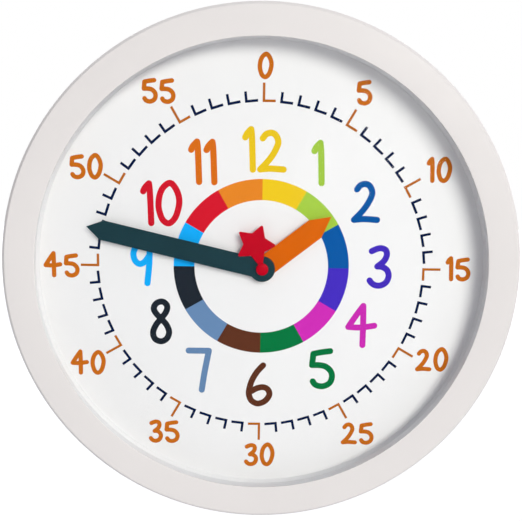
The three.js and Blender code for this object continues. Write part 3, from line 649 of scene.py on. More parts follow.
# The printed card: its print lies a little off the hands' axis, as it was laid in
dial = {
    "printShift": Vector((-0.4, 0.55)),
    "inkDepth": 0.04,
    "tickRadius": 97.0,
    "minorStroke": 1.55,
    "majorStroke": 1.45,
    "minorReach": 5.6,
    "majorReach": 10.2,
    "foot": 6.8,
    "ringOuter": 52.2,
    "ringInner": 39.8,
    "ringSteps": 24,
    "boreRadius": 4.9,
    "edgeInset": 1.6,
    "edge": 0.06,
    "segments": 192,
}
navy = (0.001, 0.009, 0.052)
orange = (0.55, 0.14, 0.008)
burntOrange = (0.45, 0.125, 0.012)
hourColours = {
    12: (0.86, 0.59, 0.015),
    1: (0.37, 0.61, 0.06),
    2: (0.001, 0.097, 0.38),
    3: (0.06, 0.027, 0.53),
    4: (0.62, 0.027, 0.475),
    5: (0.001, 0.18, 0.049),
    6: (0.113, 0.033, 0.015),
    7: (0.134, 0.25, 0.45),
    8: (0.014, 0.02, 0.03),
    9: (0.007, 0.43, 1.0),
    10: (0.66, 0.009, 0.026),
    11: (0.72, 0.16, 0.01),
}
ringColours = {**hourColours, 11: (0.79, 0.24, 0.02)}


def dialCard():
    edge, radius, bore = dial["edge"], radiusOf("dial_card") - dial["edgeInset"], dial["boreRadius"]
    outline = [(bore, cardBack), (radius, cardBack),
               *arc(radius - edge, cardFront - edge, edge, 0, 90, steps=2), (bore, cardFront)]
    placed("dialCard", turned(outline, dial["segments"]), "case", "dial_print", "dial_card")


def printed(name, mesh):  # ink lies on the card's face
    placed(name, moved(mesh, *dial["printShift"]), "case", "dial_print", material=ink)


def inkSlab(flat, faces, colour=None):
    mesh = slab(flat, faces, cardFront - dial["inkDepth"], cardFront + dial["inkDepth"])
    if colour:
        layer = mesh.attributes.new("ink", "FLOAT_COLOR", "POINT")
        layer.data.foreach_set("color", [*colour, 1] * len(mesh.vertices))
    return mesh


def tick(reach, stroke):  # an L with its corner on the ring of ticks and its foot clockwise
    half = stroke / 2
    inner, foot = dial["tickRadius"], dial["foot"]
    outline = [(-half, inner - half), (foot, inner - half), (foot, inner + half),
               (half, inner + half), (half, inner + reach), (-half, inner + reach)]
    return filled([[Vector(p) for p in outline]])


def minuteRing():
    minor = inkSlab(*tick(dial["minorReach"], dial["minorStroke"]), navy)
    major = inkSlab(*tick(dial["majorReach"], dial["majorStroke"]), burntOrange)
    printed("minuteTicks", around("minuteTicks", minor, ink, count=60, leftOut=5))
    printed("fiveMinuteTicks", around("fiveMinuteTicks", major, ink, count=12))


def colourRing():
    hour, steps = 30, dial["ringSteps"]  # degrees
    outer = [onClock(dial["ringOuter"], hour * i / steps) for i in range(steps + 1)]
    inner = [onClock(dial["ringInner"], hour * i / steps) for i in range(steps, -1, -1)]
    segment = inkSlab(*filled([outer + inner]))
    colours = [ringColours[figure] for figure in (12, *range(1, 12))]
    printed("hourRing", around("hourRing", segment, ink, count=12, colours=colours))


dialCard()
minuteRing()
colourRing()
print("card, ticks and ring")

# Numerals: round-ended pen strokes, in hundredths of each figure's own height. A stroke is
# smooth from end to end, and corners lie where two strokes meet. "tall" is against the figure 1.
figures = {
    "0": {"tall": 1.02, "loops": [[(28, 100), (41, 89), (50, 68), (51, 47), (44, 20), (34, 5), (23, 0),
                                   (10, 9), (2, 30), (0, 48), (3, 70), (12, 89)]]},
    "1": {"tall": 1.0, "strokes": [[(0, 80), (5, 90), (14.5, 100)], [(14.5, 100), (17, 76), (20, 0)]]},
    "2": {"tall": 0.92, "strokes": [[(6, 85), (15, 96), (29, 100), (41, 94), (48, 79), (46, 65), (34, 41),
                                     (18, 20), (0, 1)], [(0, 1), (28, 3.5), (64, 1.5)]]},
    "3": {"tall": 0.975, "strokes": [[(3, 92), (16, 98), (28, 100), (40, 95), (43, 82), (36, 66),
                                      (19, 51.5)],
                                     [(19, 51.5), (32, 50.5), (45, 42), (50, 27), (44, 10), (31, 1.5),
                                      (17, 1), (6, 6.5), (0, 14)]]},
    "4": {"tall": 1.04, "strokes": [[(36, 100), (17, 73), (0, 46)], [(0, 46), (30, 45), (65, 50)],
                                    [(36, 100), (37, 55), (37, 0)]]},
    "5": {"tall": 0.95, "strokes": [[(49, 100), (24, 96.5), (3, 92)], [(3, 92), (0, 60)],
                                    [(0, 60), (20, 60), (38, 56), (52, 43), (56, 27), (50, 10), (35, 1),
                                     (21, 0.5), (9, 5.5), (3, 14)]]},
    "6": {"tall": 1.035, "strokes": [[(35, 100), (20, 83), (8, 62), (1.5, 41), (0, 25), (5, 10), (14, 2.5),
                                      (25, 0), (40, 6), (50, 18), (52, 29), (46, 39), (35, 43), (20, 40),
                                      (6, 32)]]},
    "7": {"tall": 1.05, "strokes": [[(0, 100), (50, 100)], [(50, 100), (46, 79), (39, 41), (33, 0)]]},
    "8": {"tall": 1.05, "loops": [[(20, 100), (8, 95), (2, 83), (7, 71), (20, 57), (33, 42), (39.5, 24),
                                   (34, 7.5), (20, 0), (5, 6), (0, 22), (7, 41), (20, 57.5), (32, 74),
                                   (35, 88), (29, 97)]]},
    "9": {"tall": 1.0, "strokes": [[(41, 84), (35, 96), (23, 100), (8, 94), (0, 79), (2, 62), (10, 52),
                                    (19, 50), (30, 57), (41, 73)], [(41, 84), (40, 50), (35, 0)]]},
}
hours = {
    "lap": 12,
    "radius": 71.0,
    "unit": 23.2,
    "stroke": 3.7,
    "gap": 0.6,
    "shade": 0.94,
    "nudges": {12: (0.8, -1.9), 1: (-3.2, 0.4), 2: (-0.3, 4.1), 3: (-0.4, 1.1), 4: (-0.6, 0.8),
               5: (2.4, -0.3), 6: (-0.2, -1.1), 7: (-1.6, -2.1), 8: (1.7, 1.8), 9: (-0.2, 1.1),
               10: (2.1, 1.7), 11: (0.4, 0.0)},
}
minutes = {
    "lap": 60,
    "radius": 118.0,
    "unit": 12.6,
    "stroke": 2.6,
    "gap": 0.9,
    "nudges": {0: (0.7, -1.2), 5: (-0.9, 0.3), 10: (1.4, 0.1), 15: (-0.3, 0.6), 20: (2.5, 3.9),
               25: (1.8, -0.3), 30: (0.5, 1.4), 35: (0.9, -0.2), 40: (-1.7, -0.3), 45: (-0.6, 0.1),
               50: (-0.8, -1.0), 55: (-1.7, -0.7)},
}
pen = {"steps": 6, "endSides": 20}


def smooth(points, closed):  # a curve through the points
    count = len(points)
    curve = []
    for i in range(count if closed else count - 1):
        near = [points[(i + k) % count] if closed else points[min(max(i + k, 0), count - 1)]
                for k in (-1, 0, 1, 2)]
        a, b, c, d = near
        for k in range(pen["steps"]):
            t = k / pen["steps"]
            curve.append(0.5 * (2 * b + (c - a) * t + (2 * a - 5 * b + 4 * c - d) * t * t
                                + (3 * b - a - 3 * c + d) * t * t * t))
    if not closed:
        curve.append(points[-1])
    return curve


def penShapes(points, width, closed):  # the area that a round pen covers along a curve
    count = len(points)
    sides = []
    for i, point in enumerate(points):
        before = points[i - 1] if closed or i else point
        after = points[(i + 1) % count] if closed or i + 1 < count else point
        along = (after - before).normalized()
        across = Vector((-along.y, along.x)) * width / 2
        sides.append((point + across, point - across))
    shapes = []
    for i in range(count if closed else count - 1):
        (a, b), (c, d) = sides[i], sides[(i + 1) % count]
        shapes.append([a, b, d, c])
    if not closed:
        shapes += [disc(end, width / 2, pen["endSides"]) for end in (points[0], points[-1])]
    return shapes


def numeral(text, style, centre, colour):
    curves, left = [], 0.0
    for figure in text:
        shape = figures[figure]
        size = style["unit"] * shape["tall"] / 100
        width = 0
        for closed, key in ((False, "strokes"), (True, "loops")):
            for stroke in shape.get(key, []):
                points = [Vector((left + x * size, y * size)) for x, y in stroke]
                curves.append((smooth(points, closed), closed))
                width = max(width, *(x * size for x, y in stroke))
        left += width + style["stroke"] + style["gap"]
    everyPoint = [p for curve, _ in curves for p in curve]
    low = Vector((min(p.x for p in everyPoint), min(p.y for p in everyPoint)))
    high = Vector((max(p.x for p in everyPoint), max(p.y for p in everyPoint)))
    shift = centre - (low + high) / 2
    shapes = []
    for curve, closed in curves:
        shapes += penShapes([p + shift for p in curve], style["stroke"], closed)
    return inkSlab(*filled(shapes), colour)


def numeralRing(name, style, colours):
    meshes = []
    for label, colour in colours.items():
        centre = onClock(style["radius"], label * 360 / style["lap"]) + Vector(style["nudges"][label])
        meshes.append(numeral(str(label), style, centre, colour))
    printed(name, combined(meshes))


numeralRing("hourNumerals", hours,
            {hour: [hours["shade"] * part for part in hourColours[hour]] for hour in range(1, 13)})
numeralRing("minuteNumerals", minutes, dict.fromkeys(range(0, 60, 5), orange))
print("numerals")

# Hands: painted sheet with softened edges, drawn pointing to 12
hands = {
    "sheet": 0.5,
    "edge": 0.12,
    "hour": {"width": 12.6, "shoulder": 39.1, "length": 50.8, "angle": 52.0, "bore": 2.77},
    "minute": {"width": 11.6, "shoulder": 96.4, "length": 105.5, "angle": 283.0, "bore": 1.52, "hub": 7.6},
    "second": {"angle": 343.5, "bore": 0.62},
    "star": {"distance": 15.1, "radius": 12.6, "round": 0.8, "rootShare": 0.55, "points": 5},
    "cap": {"radius": 3.6, "edge": 0.45, "steps": 12, "segments": 64},
}


def handBlade(name, node, outlines, shape, slotName, body):
    back, front = depthOf(node)
    flat, faces = filled(outlines, [disc((0, 0), shape["bore"], sides=40)])
    mesh = edited(slab(flat, faces, back, min(front, back + hands["sheet"])), flatsJoined)
    mesh = bevelled(mesh, hands["edge"], segments=3)
    mesh.transform(Matrix.Rotation(-math.radians(shape["angle"]), 4, "Z"))
    placed(name, mesh, body, slotName, node)


def pointedBar(shape):
    half, shoulder = shape["width"] / 2, shape["shoulder"]
    below = sorted((p.x, p.y) for p in disc((0, 0), half, sides=64) if p.y < -weldGap)
    return [Vector(p) for p in [(-half, 0), *below, (half, 0), (half, shoulder),
                                (0, shape["length"]), (-half, shoulder)]]


def starOutline(shape):  # rounded points, with the lowest drawn out to the hub
    root = shape["radius"] * shape["rootShare"]
    step = math.pi / shape["points"]
    tip = math.atan2(root * math.sin(step), shape["radius"] - root * math.cos(step))
    centre = shape["radius"] - shape["round"] / math.sin(tip)
    sweep = math.degrees(math.pi / 2 - tip)
    middle = Vector((0, shape["distance"]))
    outline = [Vector((0, 0))]
    for i in range(1, 2 * shape["points"]):
        direction = i * step - math.pi / 2
        along = Vector((math.cos(direction), math.sin(direction)))
        if i % 2:
            outline.append(middle + root * along)
            continue
        place = middle + centre * along
        turn = math.degrees(direction)
        outline += [Vector(p) for p in arc(place.x, place.y, shape["round"], turn - sweep, turn + sweep,
                                           cornerSteps)]
    return outline


def hubCap():
    back, top = depthOf("second_hand")
    shape = hands["cap"]
    radius, steps = shape["radius"], shape["steps"]
    foot = back + hands["sheet"]
    wallTop = foot + shape["edge"]
    dome = []
    for i in range(steps):
        angle = math.pi / 2 * i / steps
        dome.append((radius * math.cos(angle), wallTop + (top - wallTop) * math.sin(angle)))
    mesh = turned([(0, foot), (radius, foot), *dome, (0, top)], shape["segments"])
    placed("hubCap", mesh, "seconds_train", "hand_red", "second_hand")


hourShape, minuteShape = hands["hour"], hands["minute"]
handBlade("hourHand", "hour_hand", [pointedBar(hourShape)], hourShape, "hand_orange", "hour_train")
handBlade("minuteHand", "minute_hand",
          [pointedBar(minuteShape), disc((0, 0), minuteShape["hub"], sides=96)], minuteShape, "hand_teal",
          "minute_train")
handBlade("secondHandStar", "second_hand", [starOutline(hands["star"])], hands["second"], "hand_red",
          "seconds_train")
hubCap()
print("hands")

# Bush, nut and washer: turned brass, the bush threaded for the nut
bush = {
    "flange": 2.0,
    "flangeHeight": 1.2,
    "flangeEdge": 0.2,
    "washerEdge": 0.1,
    "nutEdge": 0.35,
    "nutSides": 6,
    "wall": 1.15,
    "pitch": 0.75,
    "threadDepth": 0.3,
    "fit": 0.12,
    "segments": 64,
    "washerSegments": 72,
}


def brassFittings():
    low, high = depthOf("shaft_bush")
    flange, edge, bore = radiusOf("shaft_bush"), bush["flangeEdge"], bush["wall"]
    radius = flange - bush["flange"]
    seat = low + bush["flangeHeight"]
    outline = [(radius - bore, low), (flange - edge, low), (flange, low + edge), (flange, seat),
               (radius, seat), *thread(radius, seat, high, bush["pitch"], bush["threadDepth"]),
               (radius - bush["threadDepth"], high), (radius - bore, high)]
    placed("shaftBush", turned(outline, bush["segments"]), "case", "bush_brass", "shaft_bush")
    low, high = depthOf("bush_washer")
    outer, hole, edge = radiusOf("bush_washer"), radius + bush["fit"], bush["washerEdge"]
    outline = [(hole, low), (outer - edge, low), (outer, low + edge), (outer, high - edge),
               (outer - edge, high), (hole, high)]
    placed("bushWasher", turned(outline, bush["washerSegments"]), "case", "bush_brass", "bush_washer")
    low, high = depthOf("bush_nut")
    left, right, bottom, top = sidesOf("bush_nut")
    corner, flats = max(right - left, top - bottom) / 2, min(right - left, top - bottom) / 2
    first, sides, edge = 0 if right - left > top - bottom else 30, bush["nutSides"], bush["nutEdge"]
    turns = [math.radians(360 / sides * i + first) for i in range(sides)]
    corners = [Vector((corner * math.cos(turn), corner * math.sin(turn))) for turn in turns]
    hexagon = plate(corners, low, high, [disc((0, 0), hole, sides=48)])
    cone = turned([(0, low), (flats, low), (corner, low + edge), (corner, high - edge), (flats, high),
                   (0, high)], bush["washerSegments"])
    nut = finished(cutOrJoined(hexagon, [cone], "INTERSECT"), sharpAngle=25)
    placed("bushNut", nut, "case", "bush_brass", "bush_nut")


# Dial plate: a moulded disc whose rim holds the lens, with ribs and the hanger's posts behind
back = {
    "wall": 2.2,
    "edge": 0.4,
    "rimLean": 1.2,
    "ribs": 12,
    "ribWidth": 1.8,
    "ribHeight": 6.0,
    "ribStart": 46.0,
    "ribInset": 16.0,
    "ribSlope": 7.0,
    "ribEnd": 2,
    "ribEdge": 0.35,
    "postRadius": 4.4,
    "postSpacing": 34.0,
    "postFlare": 1,
    "gusset": 4.5,
    "gussetWidth": 1.2,
    "gussetDrop": 6,
    "screws": 6,
    "screwHole": 1.65,
    "segments": 240,
}
plateBack = depthOf("movement_gasket")[1] + rim["seatGap"]
plateFront = plateBack + back["wall"]
hangHeight = -axisHeight / mm
screwCircle = centreOf("plate_screw_1").length


def rib():  # a thin blade with a rounded edge that slopes down to the plate at its ends
    half, slope = back["ribWidth"] / 2, back["ribSlope"]
    start, end = back["ribStart"], radiusOf("dial_plate") - back["ribInset"]
    low, high = plateBack + back["wall"] / 2, plateBack - back["ribHeight"]
    foot = low - back["ribEnd"]
    side = [Vector(p) for p in [(start, low), (end, low), (end, foot), (end - slope, high),
                                (start + slope, high), (start, foot)]]
    blade = bevelled(plate(side, -half, half), back["ribEdge"], segments=2)
    blade.transform(Matrix(((0, 0, 1, 0), (1, 0, 0, 0), (0, 1, 0, 0), (0, 0, 0, 1))))
    return blade


def dialPlate():
    edge = back["edge"]
    flange, seat = radiusOf("dial_plate"), lensRadius
    bore = radiusOf("shaft_bush") - bush["flange"] + rim["seatGap"]
    top, cardEdge = lensBack - rim["lensGap"], radiusOf("dial_card")
    recess = cardEdge - dial["edgeInset"] + rim["lensGap"]
    outline = [
        (bore, plateBack),
        *arc(flange - edge, plateBack + edge, edge, -90, 0, steps=3),
        *arc(flange - edge, plateFront - edge, edge, 0, 90, steps=3),
        (seat, plateFront),
        (seat, top),
        (cardEdge + back["rimLean"], top),
        (cardEdge, cardFront + dial["edgeInset"]),
        (recess, cardFront),
        (recess, plateFront),
        (bore, plateFront),
    ]
    whole = turned(outline, back["segments"])
    joined = [around("ribs", rib(), ink, back["ribs"], 180 / back["ribs"])]
    hole = rod((0, screwCircle), back["screwHole"], plateBack - past, plateFront + past, sides=24)
    holes = [around("holes", hole, ink, back["screws"])]
    postBack = depthOf("hanger_plate")[1] + rim["seatGap"]
    boreEnd = postBack + rim["bossDepth"]
    radius, gusset, half = back["postRadius"], back["gusset"], back["gussetWidth"] / 2
    foot, gussetBack = plateBack + sunk, postBack + back["gussetDrop"]
    for side in (-1, 1):
        x = side * back["postSpacing"] / 2
        post = [(0, postBack), *arc(radius - edge, postBack + edge, edge, -90, 0, steps=3),
                (radius, plateBack - gusset), (radius + back["postFlare"], foot), (0, foot)]
        joined.append(moved(turned(post, segments=40), x, hangHeight))
        for turn in (0, 90):
            blade = block(-radius - gusset, radius + gusset, -half, half, gussetBack, foot)
            blade.transform(Matrix.Rotation(math.radians(turn), 4, "Z"))
            joined.append(moved(blade, x, hangHeight))
        holes.append(rod((x, hangHeight), rim["bossBore"], postBack - past, boreEnd, sides=24))
    whole = cutOrJoined(whole, joined, "UNION")
    whole = cutOrJoined(whole, holes, "DIFFERENCE")
    whole = finished(whole, sharpAngle=30)
    placed("dialPlateMoulding", whole, "case", "plate_plastic", "dial_plate")


# Screws: pan heads with a cross recess, and a thread that winds along the shank
screws = {
    "head": 1.8,
    "headEdge": 0.35,
    "radius": 1.4,
    "point": 1.4,
    "tipRadius": 0.3,
    "tipLength": 0.1,
    "threadDepth": 0.38,
    "pitch": 1.05,
    "crossLength": 3.4,
    "crossWidth": 0.75,
    "crossDepth": 1.0,
    "segments": 28,
}


def screw(node):
    low, high = depthOf(node)
    seat = low + screws["head"]
    head, radius, point = radiusOf(node), screws["radius"], high - screws["point"]
    brim, depth = seat - screws["headEdge"], screws["threadDepth"]
    dome = [(head * math.sin(math.radians(a)), brim - (brim - low) * math.cos(math.radians(a)))
            for a in range(10, 91, 10)]
    outline = [(0, low), *dome, (head, seat), (radius, seat),
               *thread(radius, seat, point, screws["pitch"], depth), (radius - depth, point),
               (screws["tipRadius"], high - screws["tipLength"]), (0, high)]
    long, narrow = screws["crossLength"] / 2, screws["crossWidth"] / 2
    top, bottom = low - past, low + screws["crossDepth"]
    cross = [block(-long, long, -narrow, narrow, top, bottom),
             block(-narrow, narrow, -long, long, top, bottom)]
    body = turned(outline, screws["segments"])
    return finished(cutOrJoined(body, cross, "DIFFERENCE"), sharpAngle=40)


def plateScrews():
    count, mesh = back["screws"], moved(screw("plate_screw_1"), 0, screwCircle)
    ring = around("plateScrews", mesh, finishes["screw_steel"], count)
    placed("plateScrews", ring, "case", "screw_steel", *[f"plate_screw_{i + 1}" for i in range(count)])


def hangerScrews():
    mesh = moved(screw("hanger_screw_left"), 0, back["postSpacing"] / 2)
    pair = around("hangerScrews", mesh, finishes["screw_steel"], count=2, firstAngle=90,
                  centre=(0, hangHeight))
    placed("hangerScrews", pair, "case", "screw_steel", "hanger_screw_left", "hanger_screw_right")


# Hanger: a stamped steel plate with a keyhole
hanger = {"corner": 3.0, "entryRadius": 5.0, "slotRadius": 2.3, "entryDrop": 6.7, "edge": 0.22}


def hangerPlate():
    low, high = depthOf("hanger_plate")
    slot, wide = hanger["slotRadius"], hanger["entryRadius"]
    meet = math.degrees(math.acos(slot / wide))
    keyhole = [*arc(0, hangHeight, slot, 0, 180, steps=16),
               *arc(0, hangHeight - hanger["entryDrop"], wide, 180 - meet, 360 + meet, steps=32)]
    holes = [[Vector(p) for p in keyhole]]
    for side in (-1, 1):
        holes.append(disc((side * back["postSpacing"] / 2, hangHeight), back["screwHole"], sides=24))
    mesh = plate(rounded(*sidesOf("hanger_plate"), hanger["corner"]), low, high, holes)
    mesh = bevelled(edited(mesh, flatsJoined), hanger["edge"], segments=2)
    placed("hangerPlateSteel", mesh, "case", "hanger_steel", "hanger_plate")


# Movement case: textured black mouldings with soft edges, the battery bay below the wheels
movement = {
    "corner": 3.0,
    "edge": 0.5,
    "shellWall": 1.6,
    "bayWall": 1.4,
    "frontWall": 2.0,
    "strapWidth": 2.0,
    "strapWay": 0.9,
    "shaftHole": 1.52,
    "pivotHole": 0.62,
    "rearPivot": 0.6,
    "frontPivot": 1.15,
    "postWay": 0.3,
    "bushWay": 1.2,
    "flangeWay": 0.12,
    "flangeSeat": 0.24,
    "collar": 6.3,
    "collarWidth": 0.7,
    "collarHeight": 0.5,
    "gripLines": 9,
    "gripPitch": 2.4,
    "gripLength": 5.0,
    "gripInset": 3,
    "gripHeight": 0.35,
    "gripEdge": 0.2,
}


def strapWays(left, right, bottom, top):  # where the contacts' straps pass from bay to board
    boardBack = depthOf("circuit_board")[0]
    reach = movement["strapWidth"] / 2 + rim["seatGap"]
    way, wall = movement["strapWay"], movement["shellWall"]
    ends = ((left + wall, left + wall + way), (right - wall - way, right - wall))
    return [block(a, b, bottom, top, boardBack - reach, boardBack + reach) for a, b in ends]


def pivotHoles(nodes, back, front):
    return [rod(centreOf(node), movement["pivotHole"], back, front, sides=20) for node in nodes]


def grips(middle, top, face):  # fine lines across the back, near its top
    pitch, count = movement["gripPitch"], movement["gripLines"]
    bottom = top - movement["gripLength"]
    lines = []
    for i in range(count):
        x = middle + (i - (count - 1) / 2) * pitch
        line = block(x - pitch / 5, x + pitch / 5, bottom, top, face - movement["gripHeight"], face + sunk)
        lines.append(bevelled(line, movement["gripEdge"], segments=2))
    return lines


def movementBackCase():
    left, right, bottom, top = sidesOf("movement_back_case")
    low, high = depthOf("movement_back_case")
    wall, corner = movement["shellWall"], movement["corner"]
    shell = plate(rounded(left, right, bottom, top, corner), low, high)
    shell = bevelled(shell, movement["edge"], segments=3)
    size, width, tip = movement["collar"], movement["collarWidth"], low - movement["collarHeight"]
    collar = turned([(size, low + sunk), (size, tip + width / 4), (size + width / 4, tip),
                     (size + width * 0.75, tip), (size + width, tip + width / 4),
                     (size + width, low + sunk)], segments=72)
    added = [moved(collar, *centreOf("setting_knob")),
             *grips((left + right) / 2, top - movement["gripInset"], low)]
    shell = cutOrJoined(shell, added, "UNION")
    room = rounded(left + wall, right - wall, bottom + wall, top - wall, corner - wall)
    inside = low + wall
    cuts = [plate(room, inside, high + past),
            rod(centreOf("setting_knob"), movement["shaftHole"], low - 2 * past, inside + past),
            *strapWays(left, right, bottom - past, bottom + wall + past),
            *pivotHoles(("seconds_wheel", "third_wheel", "rotor_pinion", "intermediate_wheel"),
                        inside - movement["rearPivot"], inside + past)]
    shell = finished(cutOrJoined(shell, cuts, "DIFFERENCE"), sharpAngle=30)
    placed("movementRearShell", shell, "case", "movement_plastic", "movement_back_case")


def movementFrontCase():
    left, right, bottom, top = sidesOf("movement_front_case")
    low, high = depthOf("movement_front_case")
    wall, corner, floorBack = movement["shellWall"], movement["corner"], high - movement["frontWall"]
    shellBottom = sidesOf("movement_back_case")[2]
    divider = shellBottom - rim["seatGap"]
    bayTop = divider - movement["bayWall"]
    tray = plate(rounded(left, right, bottom, top, corner), floorBack, high)
    bay = plate(rounded(left, right, bottom, divider, corner), low, floorBack + past)
    bay = bevelled(bay, movement["edge"], segments=3)
    way = wall + movement["postWay"]
    inside = block(left + way, right - way, shellBottom + wall, top - wall, low, floorBack + sunk)
    posts = cutOrJoined(fromFrame("movement_front_case"), [inside], "INTERSECT")
    whole = cutOrJoined(tray, [bay, posts], "UNION")
    flange = radiusOf("shaft_bush")
    seat = high - bush["flangeHeight"] - movement["flangeSeat"]
    cuts = [block(left + wall, right - wall, bottom + wall, bayTop, low - past, floorBack),
            rod((0, 0), flange - bush["flange"] - movement["bushWay"], floorBack - past, high + past),
            rod((0, 0), flange + movement["flangeWay"], seat, high + past, sides=48),
            *strapWays(left, right, bayTop - past, divider + past),
            *pivotHoles(("third_wheel", "setting_knob"), floorBack - past,
                        floorBack + movement["frontPivot"])]
    whole = finished(cutOrJoined(whole, cuts, "DIFFERENCE"), sharpAngle=30)
    placed("movementFrontMoulding", whole, "case", "movement_plastic", "movement_front_case")


# Setting knob: a fluted disc on the shaft and pinion that the frame holds
knob = {
    "thickness": 3.2,
    "flutes": 12,
    "fluteDepth": 0.4,
    "edge": 0.4,
    "dishDepth": 0.35,
    "dishFloor": 0.62,
    "dishMouth": 0.7,
    "dishLip": 0.1,
    "stemOverlap": 0.6,
    "segments": 240,
}


def settingKnob():
    low, high = depthOf("setting_knob")
    radius, edge, front = radiusOf("setting_knob"), knob["edge"], low + knob["thickness"]

    def fluted(inset):
        def size(angle):
            wave = max(0.0, math.cos(knob["flutes"] * angle))
            return radius - inset - knob["fluteDepth"] * wave * wave
        return size

    corner = [(edge - edge * math.sin(math.radians(a)), edge - edge * math.cos(math.radians(a)))
              for a in (0, 30, 60, 90)]
    outline = [(0, low), *[(fluted(inset), low + rise) for inset, rise in corner],
               *[(fluted(inset), front - rise) for inset, rise in reversed(corner)], (0, front)]
    floorSize, mouth = radius * knob["dishFloor"], radius * knob["dishMouth"]
    dish = turned([(0, low + knob["dishDepth"]), (floorSize, low + knob["dishDepth"]),
                   (mouth, low - knob["dishLip"]), (mouth, low - past), (0, low - past)], segments=64)
    middle = centreOf("setting_knob")
    head = cutOrJoined(turned(outline, knob["segments"]), [dish], "DIFFERENCE")
    reach, start = 2 * radius, front - knob["stemOverlap"]
    rest = block(-reach, reach, -reach, reach, start, high + past)
    stem = cutOrJoined(fromFrame("setting_knob"), [moved(rest, *middle)], "INTERSECT")
    whole = finished(cutOrJoined(moved(head, *middle), [stem], "UNION"), sharpAngle=40)
    placed("settingKnob", whole, "setting", "movement_plastic", "setting_knob")


# AA cell: a metal can with its nub, and the printed sleeve shrunk over it. The profiles are
# (radius, depth) from the can's wall and foot, from its shoulder, and from the nub's foot.
cell = {
    "footProfile": [(-1.6, 0), (-1.3, 0.15), (-1.1, 0.5), (-0.4, 0.5), (0, 0.9)],
    "shoulderProfile": [(0, -0.9), (-0.4, -0.5)],
    "nubProfile": [(1.2, -0.5), (0.3, -0.3), (0, 0)],
    "nubRadius": 2.75,
    "nubLength": 1.0,
    "nubRound": 0.3,
    "sleeve": 0.12,
    "sleeveGap": 0.02,
    "sleeveFoot": 0.1,
    "sleeveFold": 0.15,
    "crimp": 0.7,
    "segments": 96,
}


def alongCell(mesh):  # drawn upright, laid along the bay with the nub to the right
    middle, (low, high) = centreOf("battery_cell"), depthOf("battery_cell")
    mesh.transform(Matrix(((0, 0, 1, 0), (0, 1, 0, 0), (-1, 0, 0, 0), (0, 0, 0, 1))))
    return moved(mesh, *middle, (low + high) / 2)


def batteryCell():
    left, right, bottom, top = sidesOf("battery_cell")
    radius, end, crimp = (top - bottom) / 2, (right - left) / 2, cell["crimp"]
    shoulder, nub, soft = end - cell["nubLength"], cell["nubRadius"], cell["nubRound"]
    inner = radius - cell["sleeve"]
    wall = inner - cell["sleeveGap"]
    outline = [(0, -end), *[(wall + out, up - end) for out, up in cell["footProfile"]],
               *[(wall + out, shoulder + up) for out, up in cell["shoulderProfile"]],
               *[(nub + out, shoulder + up) for out, up in cell["nubProfile"]],
               *arc(nub - soft, end - soft, soft, 0, 90, steps=4), (0, end)]
    can = alongCell(turned(outline, cell["segments"]))
    placed("cellCan", can, "battery", "contact_nickel", "battery_cell")
    foot, fold = cell["sleeveFoot"], cell["sleeveFold"]
    outline = [(inner - crimp, foot + fold - end),
               *arc(radius - crimp, crimp - end + foot, crimp, -90, 0, steps=5),
               *arc(radius - crimp, shoulder - crimp, crimp, 0, 90, steps=5),
               (inner - crimp, shoulder - cell["sleeve"]), (inner, shoulder - crimp - fold),
               (inner, crimp - end + 2 * fold)]
    sleeve = alongCell(turned(outline, cell["segments"]))
    placed("cellSleeve", sleeve, "battery", "cell_sleeve", "battery_cell")


dialPlate()
plateScrews()
hangerScrews()
hangerPlate()
print("dial plate, screws and hanger")
movementBackCase()
movementFrontCase()
settingKnob()
batteryCell()
brassFittings()
print("movement case, knob, cell and bush")

# What the frame's own nodes are made of
slotOf = {part["node"]: part["material_slot"] for part in frame["record"]["subparts"]}
for name, node in frame["nodes"].items():
    if node.hide_render:
        continue
    node.data.materials.clear()
    node.data.materials.append(finishes[slotOf[name]])
print("carried-over nodes")

# Studio: a pale floor, a large soft lamp at the right and above, and even light from all round
studio = {
    "floorColour": (0.9, 0.9, 0.9),
    "floorHeight": -0.45,
    "floorSize": 12,
    "paleReach": (0.8, 2.5),
    "paleGlow": (0.4, 0.9),
    "ambient": 0.46,
    "ambientTint": (0.94, 0.96, 1.08),
    "shadeTowards": 240,
    "shadeReach": 0.6,
    "shadeDepth": 0.08,
    "lampDistance": 10.0,
    "lampOffNormal": 29,
    "lampDirection": 53,
    "lampSize": 7.25,
    "lampWidth": 3.6,
    "lampPower": 664.0,
    "lampTint": (1.0, 0.985, 0.91),
    "rearPlace": (-0.7, 1.0, 0.5),
    "rearSize": 0.8,
    "rearPower": 5.0,
}


def floor():
    size, height = studio["floorSize"] / 2, studio["floorHeight"]
    corners = [(x * size, y * size, height) for x, y in ((-1, -1), (1, -1), (1, 1), (-1, 1))]
    mesh = bpy.data.meshes.new("floor")
    mesh.from_pydata(corners, [], [(0, 1, 2, 3)])
    material, shader = newMaterial("floorPaint", studio["floorColour"], 0.9)
    tree = material.node_tree
    far = addNode(tree, "ShaderNodeVectorMath", {0: objectCoordinates(material)}, operation="LENGTH")
    pale = mapped(tree, far.outputs["Value"], studio["paleReach"], studio["paleGlow"])  # away from the clock
    seen = maths(tree, "MULTIPLY", addNode(tree, "ShaderNodeLightPath").outputs["Is Camera Ray"], pale)
    glow = addNode(tree, "ShaderNodeEmission", {"Strength": seen}).outputs["Emission"]
    surface(tree, addNode(tree, "ShaderNodeAddShader", {0: shader.outputs["BSDF"], 1: glow}).outputs[0])
    obj = newObject("floor", mesh, material)


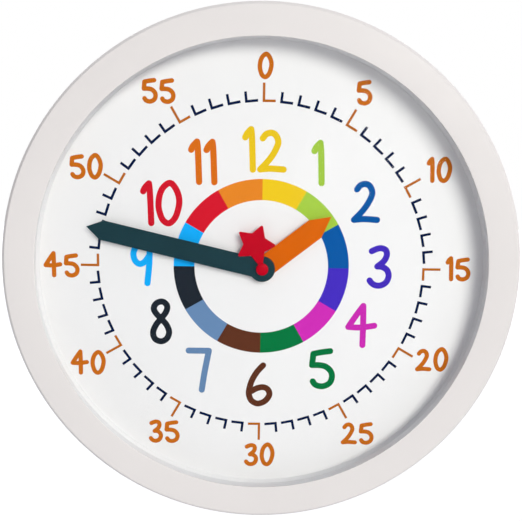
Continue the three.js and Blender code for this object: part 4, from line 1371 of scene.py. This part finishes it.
def sky():
    world = bpy.data.worlds.new("studioSky")
    bpy.context.scene.world = world
    world.use_nodes = True
    tree = world.node_tree
    path = addNode(tree, "ShaderNodeLightPath").outputs
    seen = maths(tree, "MAXIMUM", path["Is Camera Ray"], path["Is Glossy Ray"])
    through = maths(tree, "MAXIMUM", seen, path["Is Transmission Ray"])
    towards = onClock(1, studio["shadeTowards"])  # less light comes from across the lamp
    values = {0: addNode(tree, "ShaderNodeTexCoord").outputs["Generated"], 1: (towards.x, 0, towards.y)}
    aligned = addNode(tree, "ShaderNodeVectorMath", values, operation="DOT_PRODUCT").outputs["Value"]
    shade = mapped(tree, aligned, (0, studio["shadeReach"]), (1, studio["shadeDepth"]))
    ambient = [studio["ambient"] * part for part in studio["ambientTint"]]
    values = {"Factor": through, "A": (*ambient, 1), "B": (1, 1, 1, 1)}
    colour = addNode(tree, "ShaderNodeMix", values, data_type="RGBA").outputs["Result"]
    background = tree.nodes["Background"].inputs
    tree.links.new(colour, background["Color"])
    tree.links.new(maths(tree, "MAXIMUM", path["Is Camera Ray"], shade), background["Strength"])


def lamp(name, place, target, size, width, power, colour=(1, 1, 1)):
    light = bpy.data.lights.new(name, "AREA")
    light.shape = "ELLIPSE"
    light.size = size
    light.size_y = width
    light.energy = power
    light.color = colour
    obj = linked(name, light)
    obj.location = place
    away = (place - target).normalized()
    across = away.cross(Vector((0, 1, 0))).normalized()
    obj.rotation_euler = Matrix((across.cross(away), across, away)).transposed().to_euler()
    obj.visible_camera = False


def lamps():
    middle = clockToWorld @ Vector((0, 0, cardFront))
    tilt = math.radians(studio["lampOffNormal"])
    sideways = onClock(math.sin(tilt), studio["lampDirection"])
    toLamp = Vector((sideways.x, -math.cos(tilt), sideways.y))
    lamp("keyLamp", middle + toLamp * studio["lampDistance"], middle, studio["lampSize"],
         studio["lampWidth"], studio["lampPower"], studio["lampTint"])
    lamp("rearLamp", middle + Vector(studio["rearPlace"]), middle, studio["rearSize"],
         studio["rearSize"], studio["rearPower"])


# Camera: eye and target in the clock's millimetres, from the card's face
view = {"eye": (-5.74, 48.29, 368.46), "target": (-0.67, 4.58, 0), "roll": 0.878, "focal": 42.99}


def camera():
    eye, target = (clockToWorld @ (Vector(view[k]) + Vector((0, 0, cardFront))) for k in ("eye", "target"))
    data = bpy.data.cameras.new("camera")
    data.sensor_width = 36
    data.lens = view["focal"]
    data.clip_start = 0.01
    obj = linked("camera", data)
    obj.location = eye
    facing = (target - eye).to_track_quat("-Z", "Y")
    obj.rotation_mode = "QUATERNION"
    obj.rotation_quaternion = facing @ Quaternion((0, 0, 1), math.radians(view["roll"]))
    bpy.context.scene.camera = obj


floor()
sky()
lamps()
camera()
print("studio")
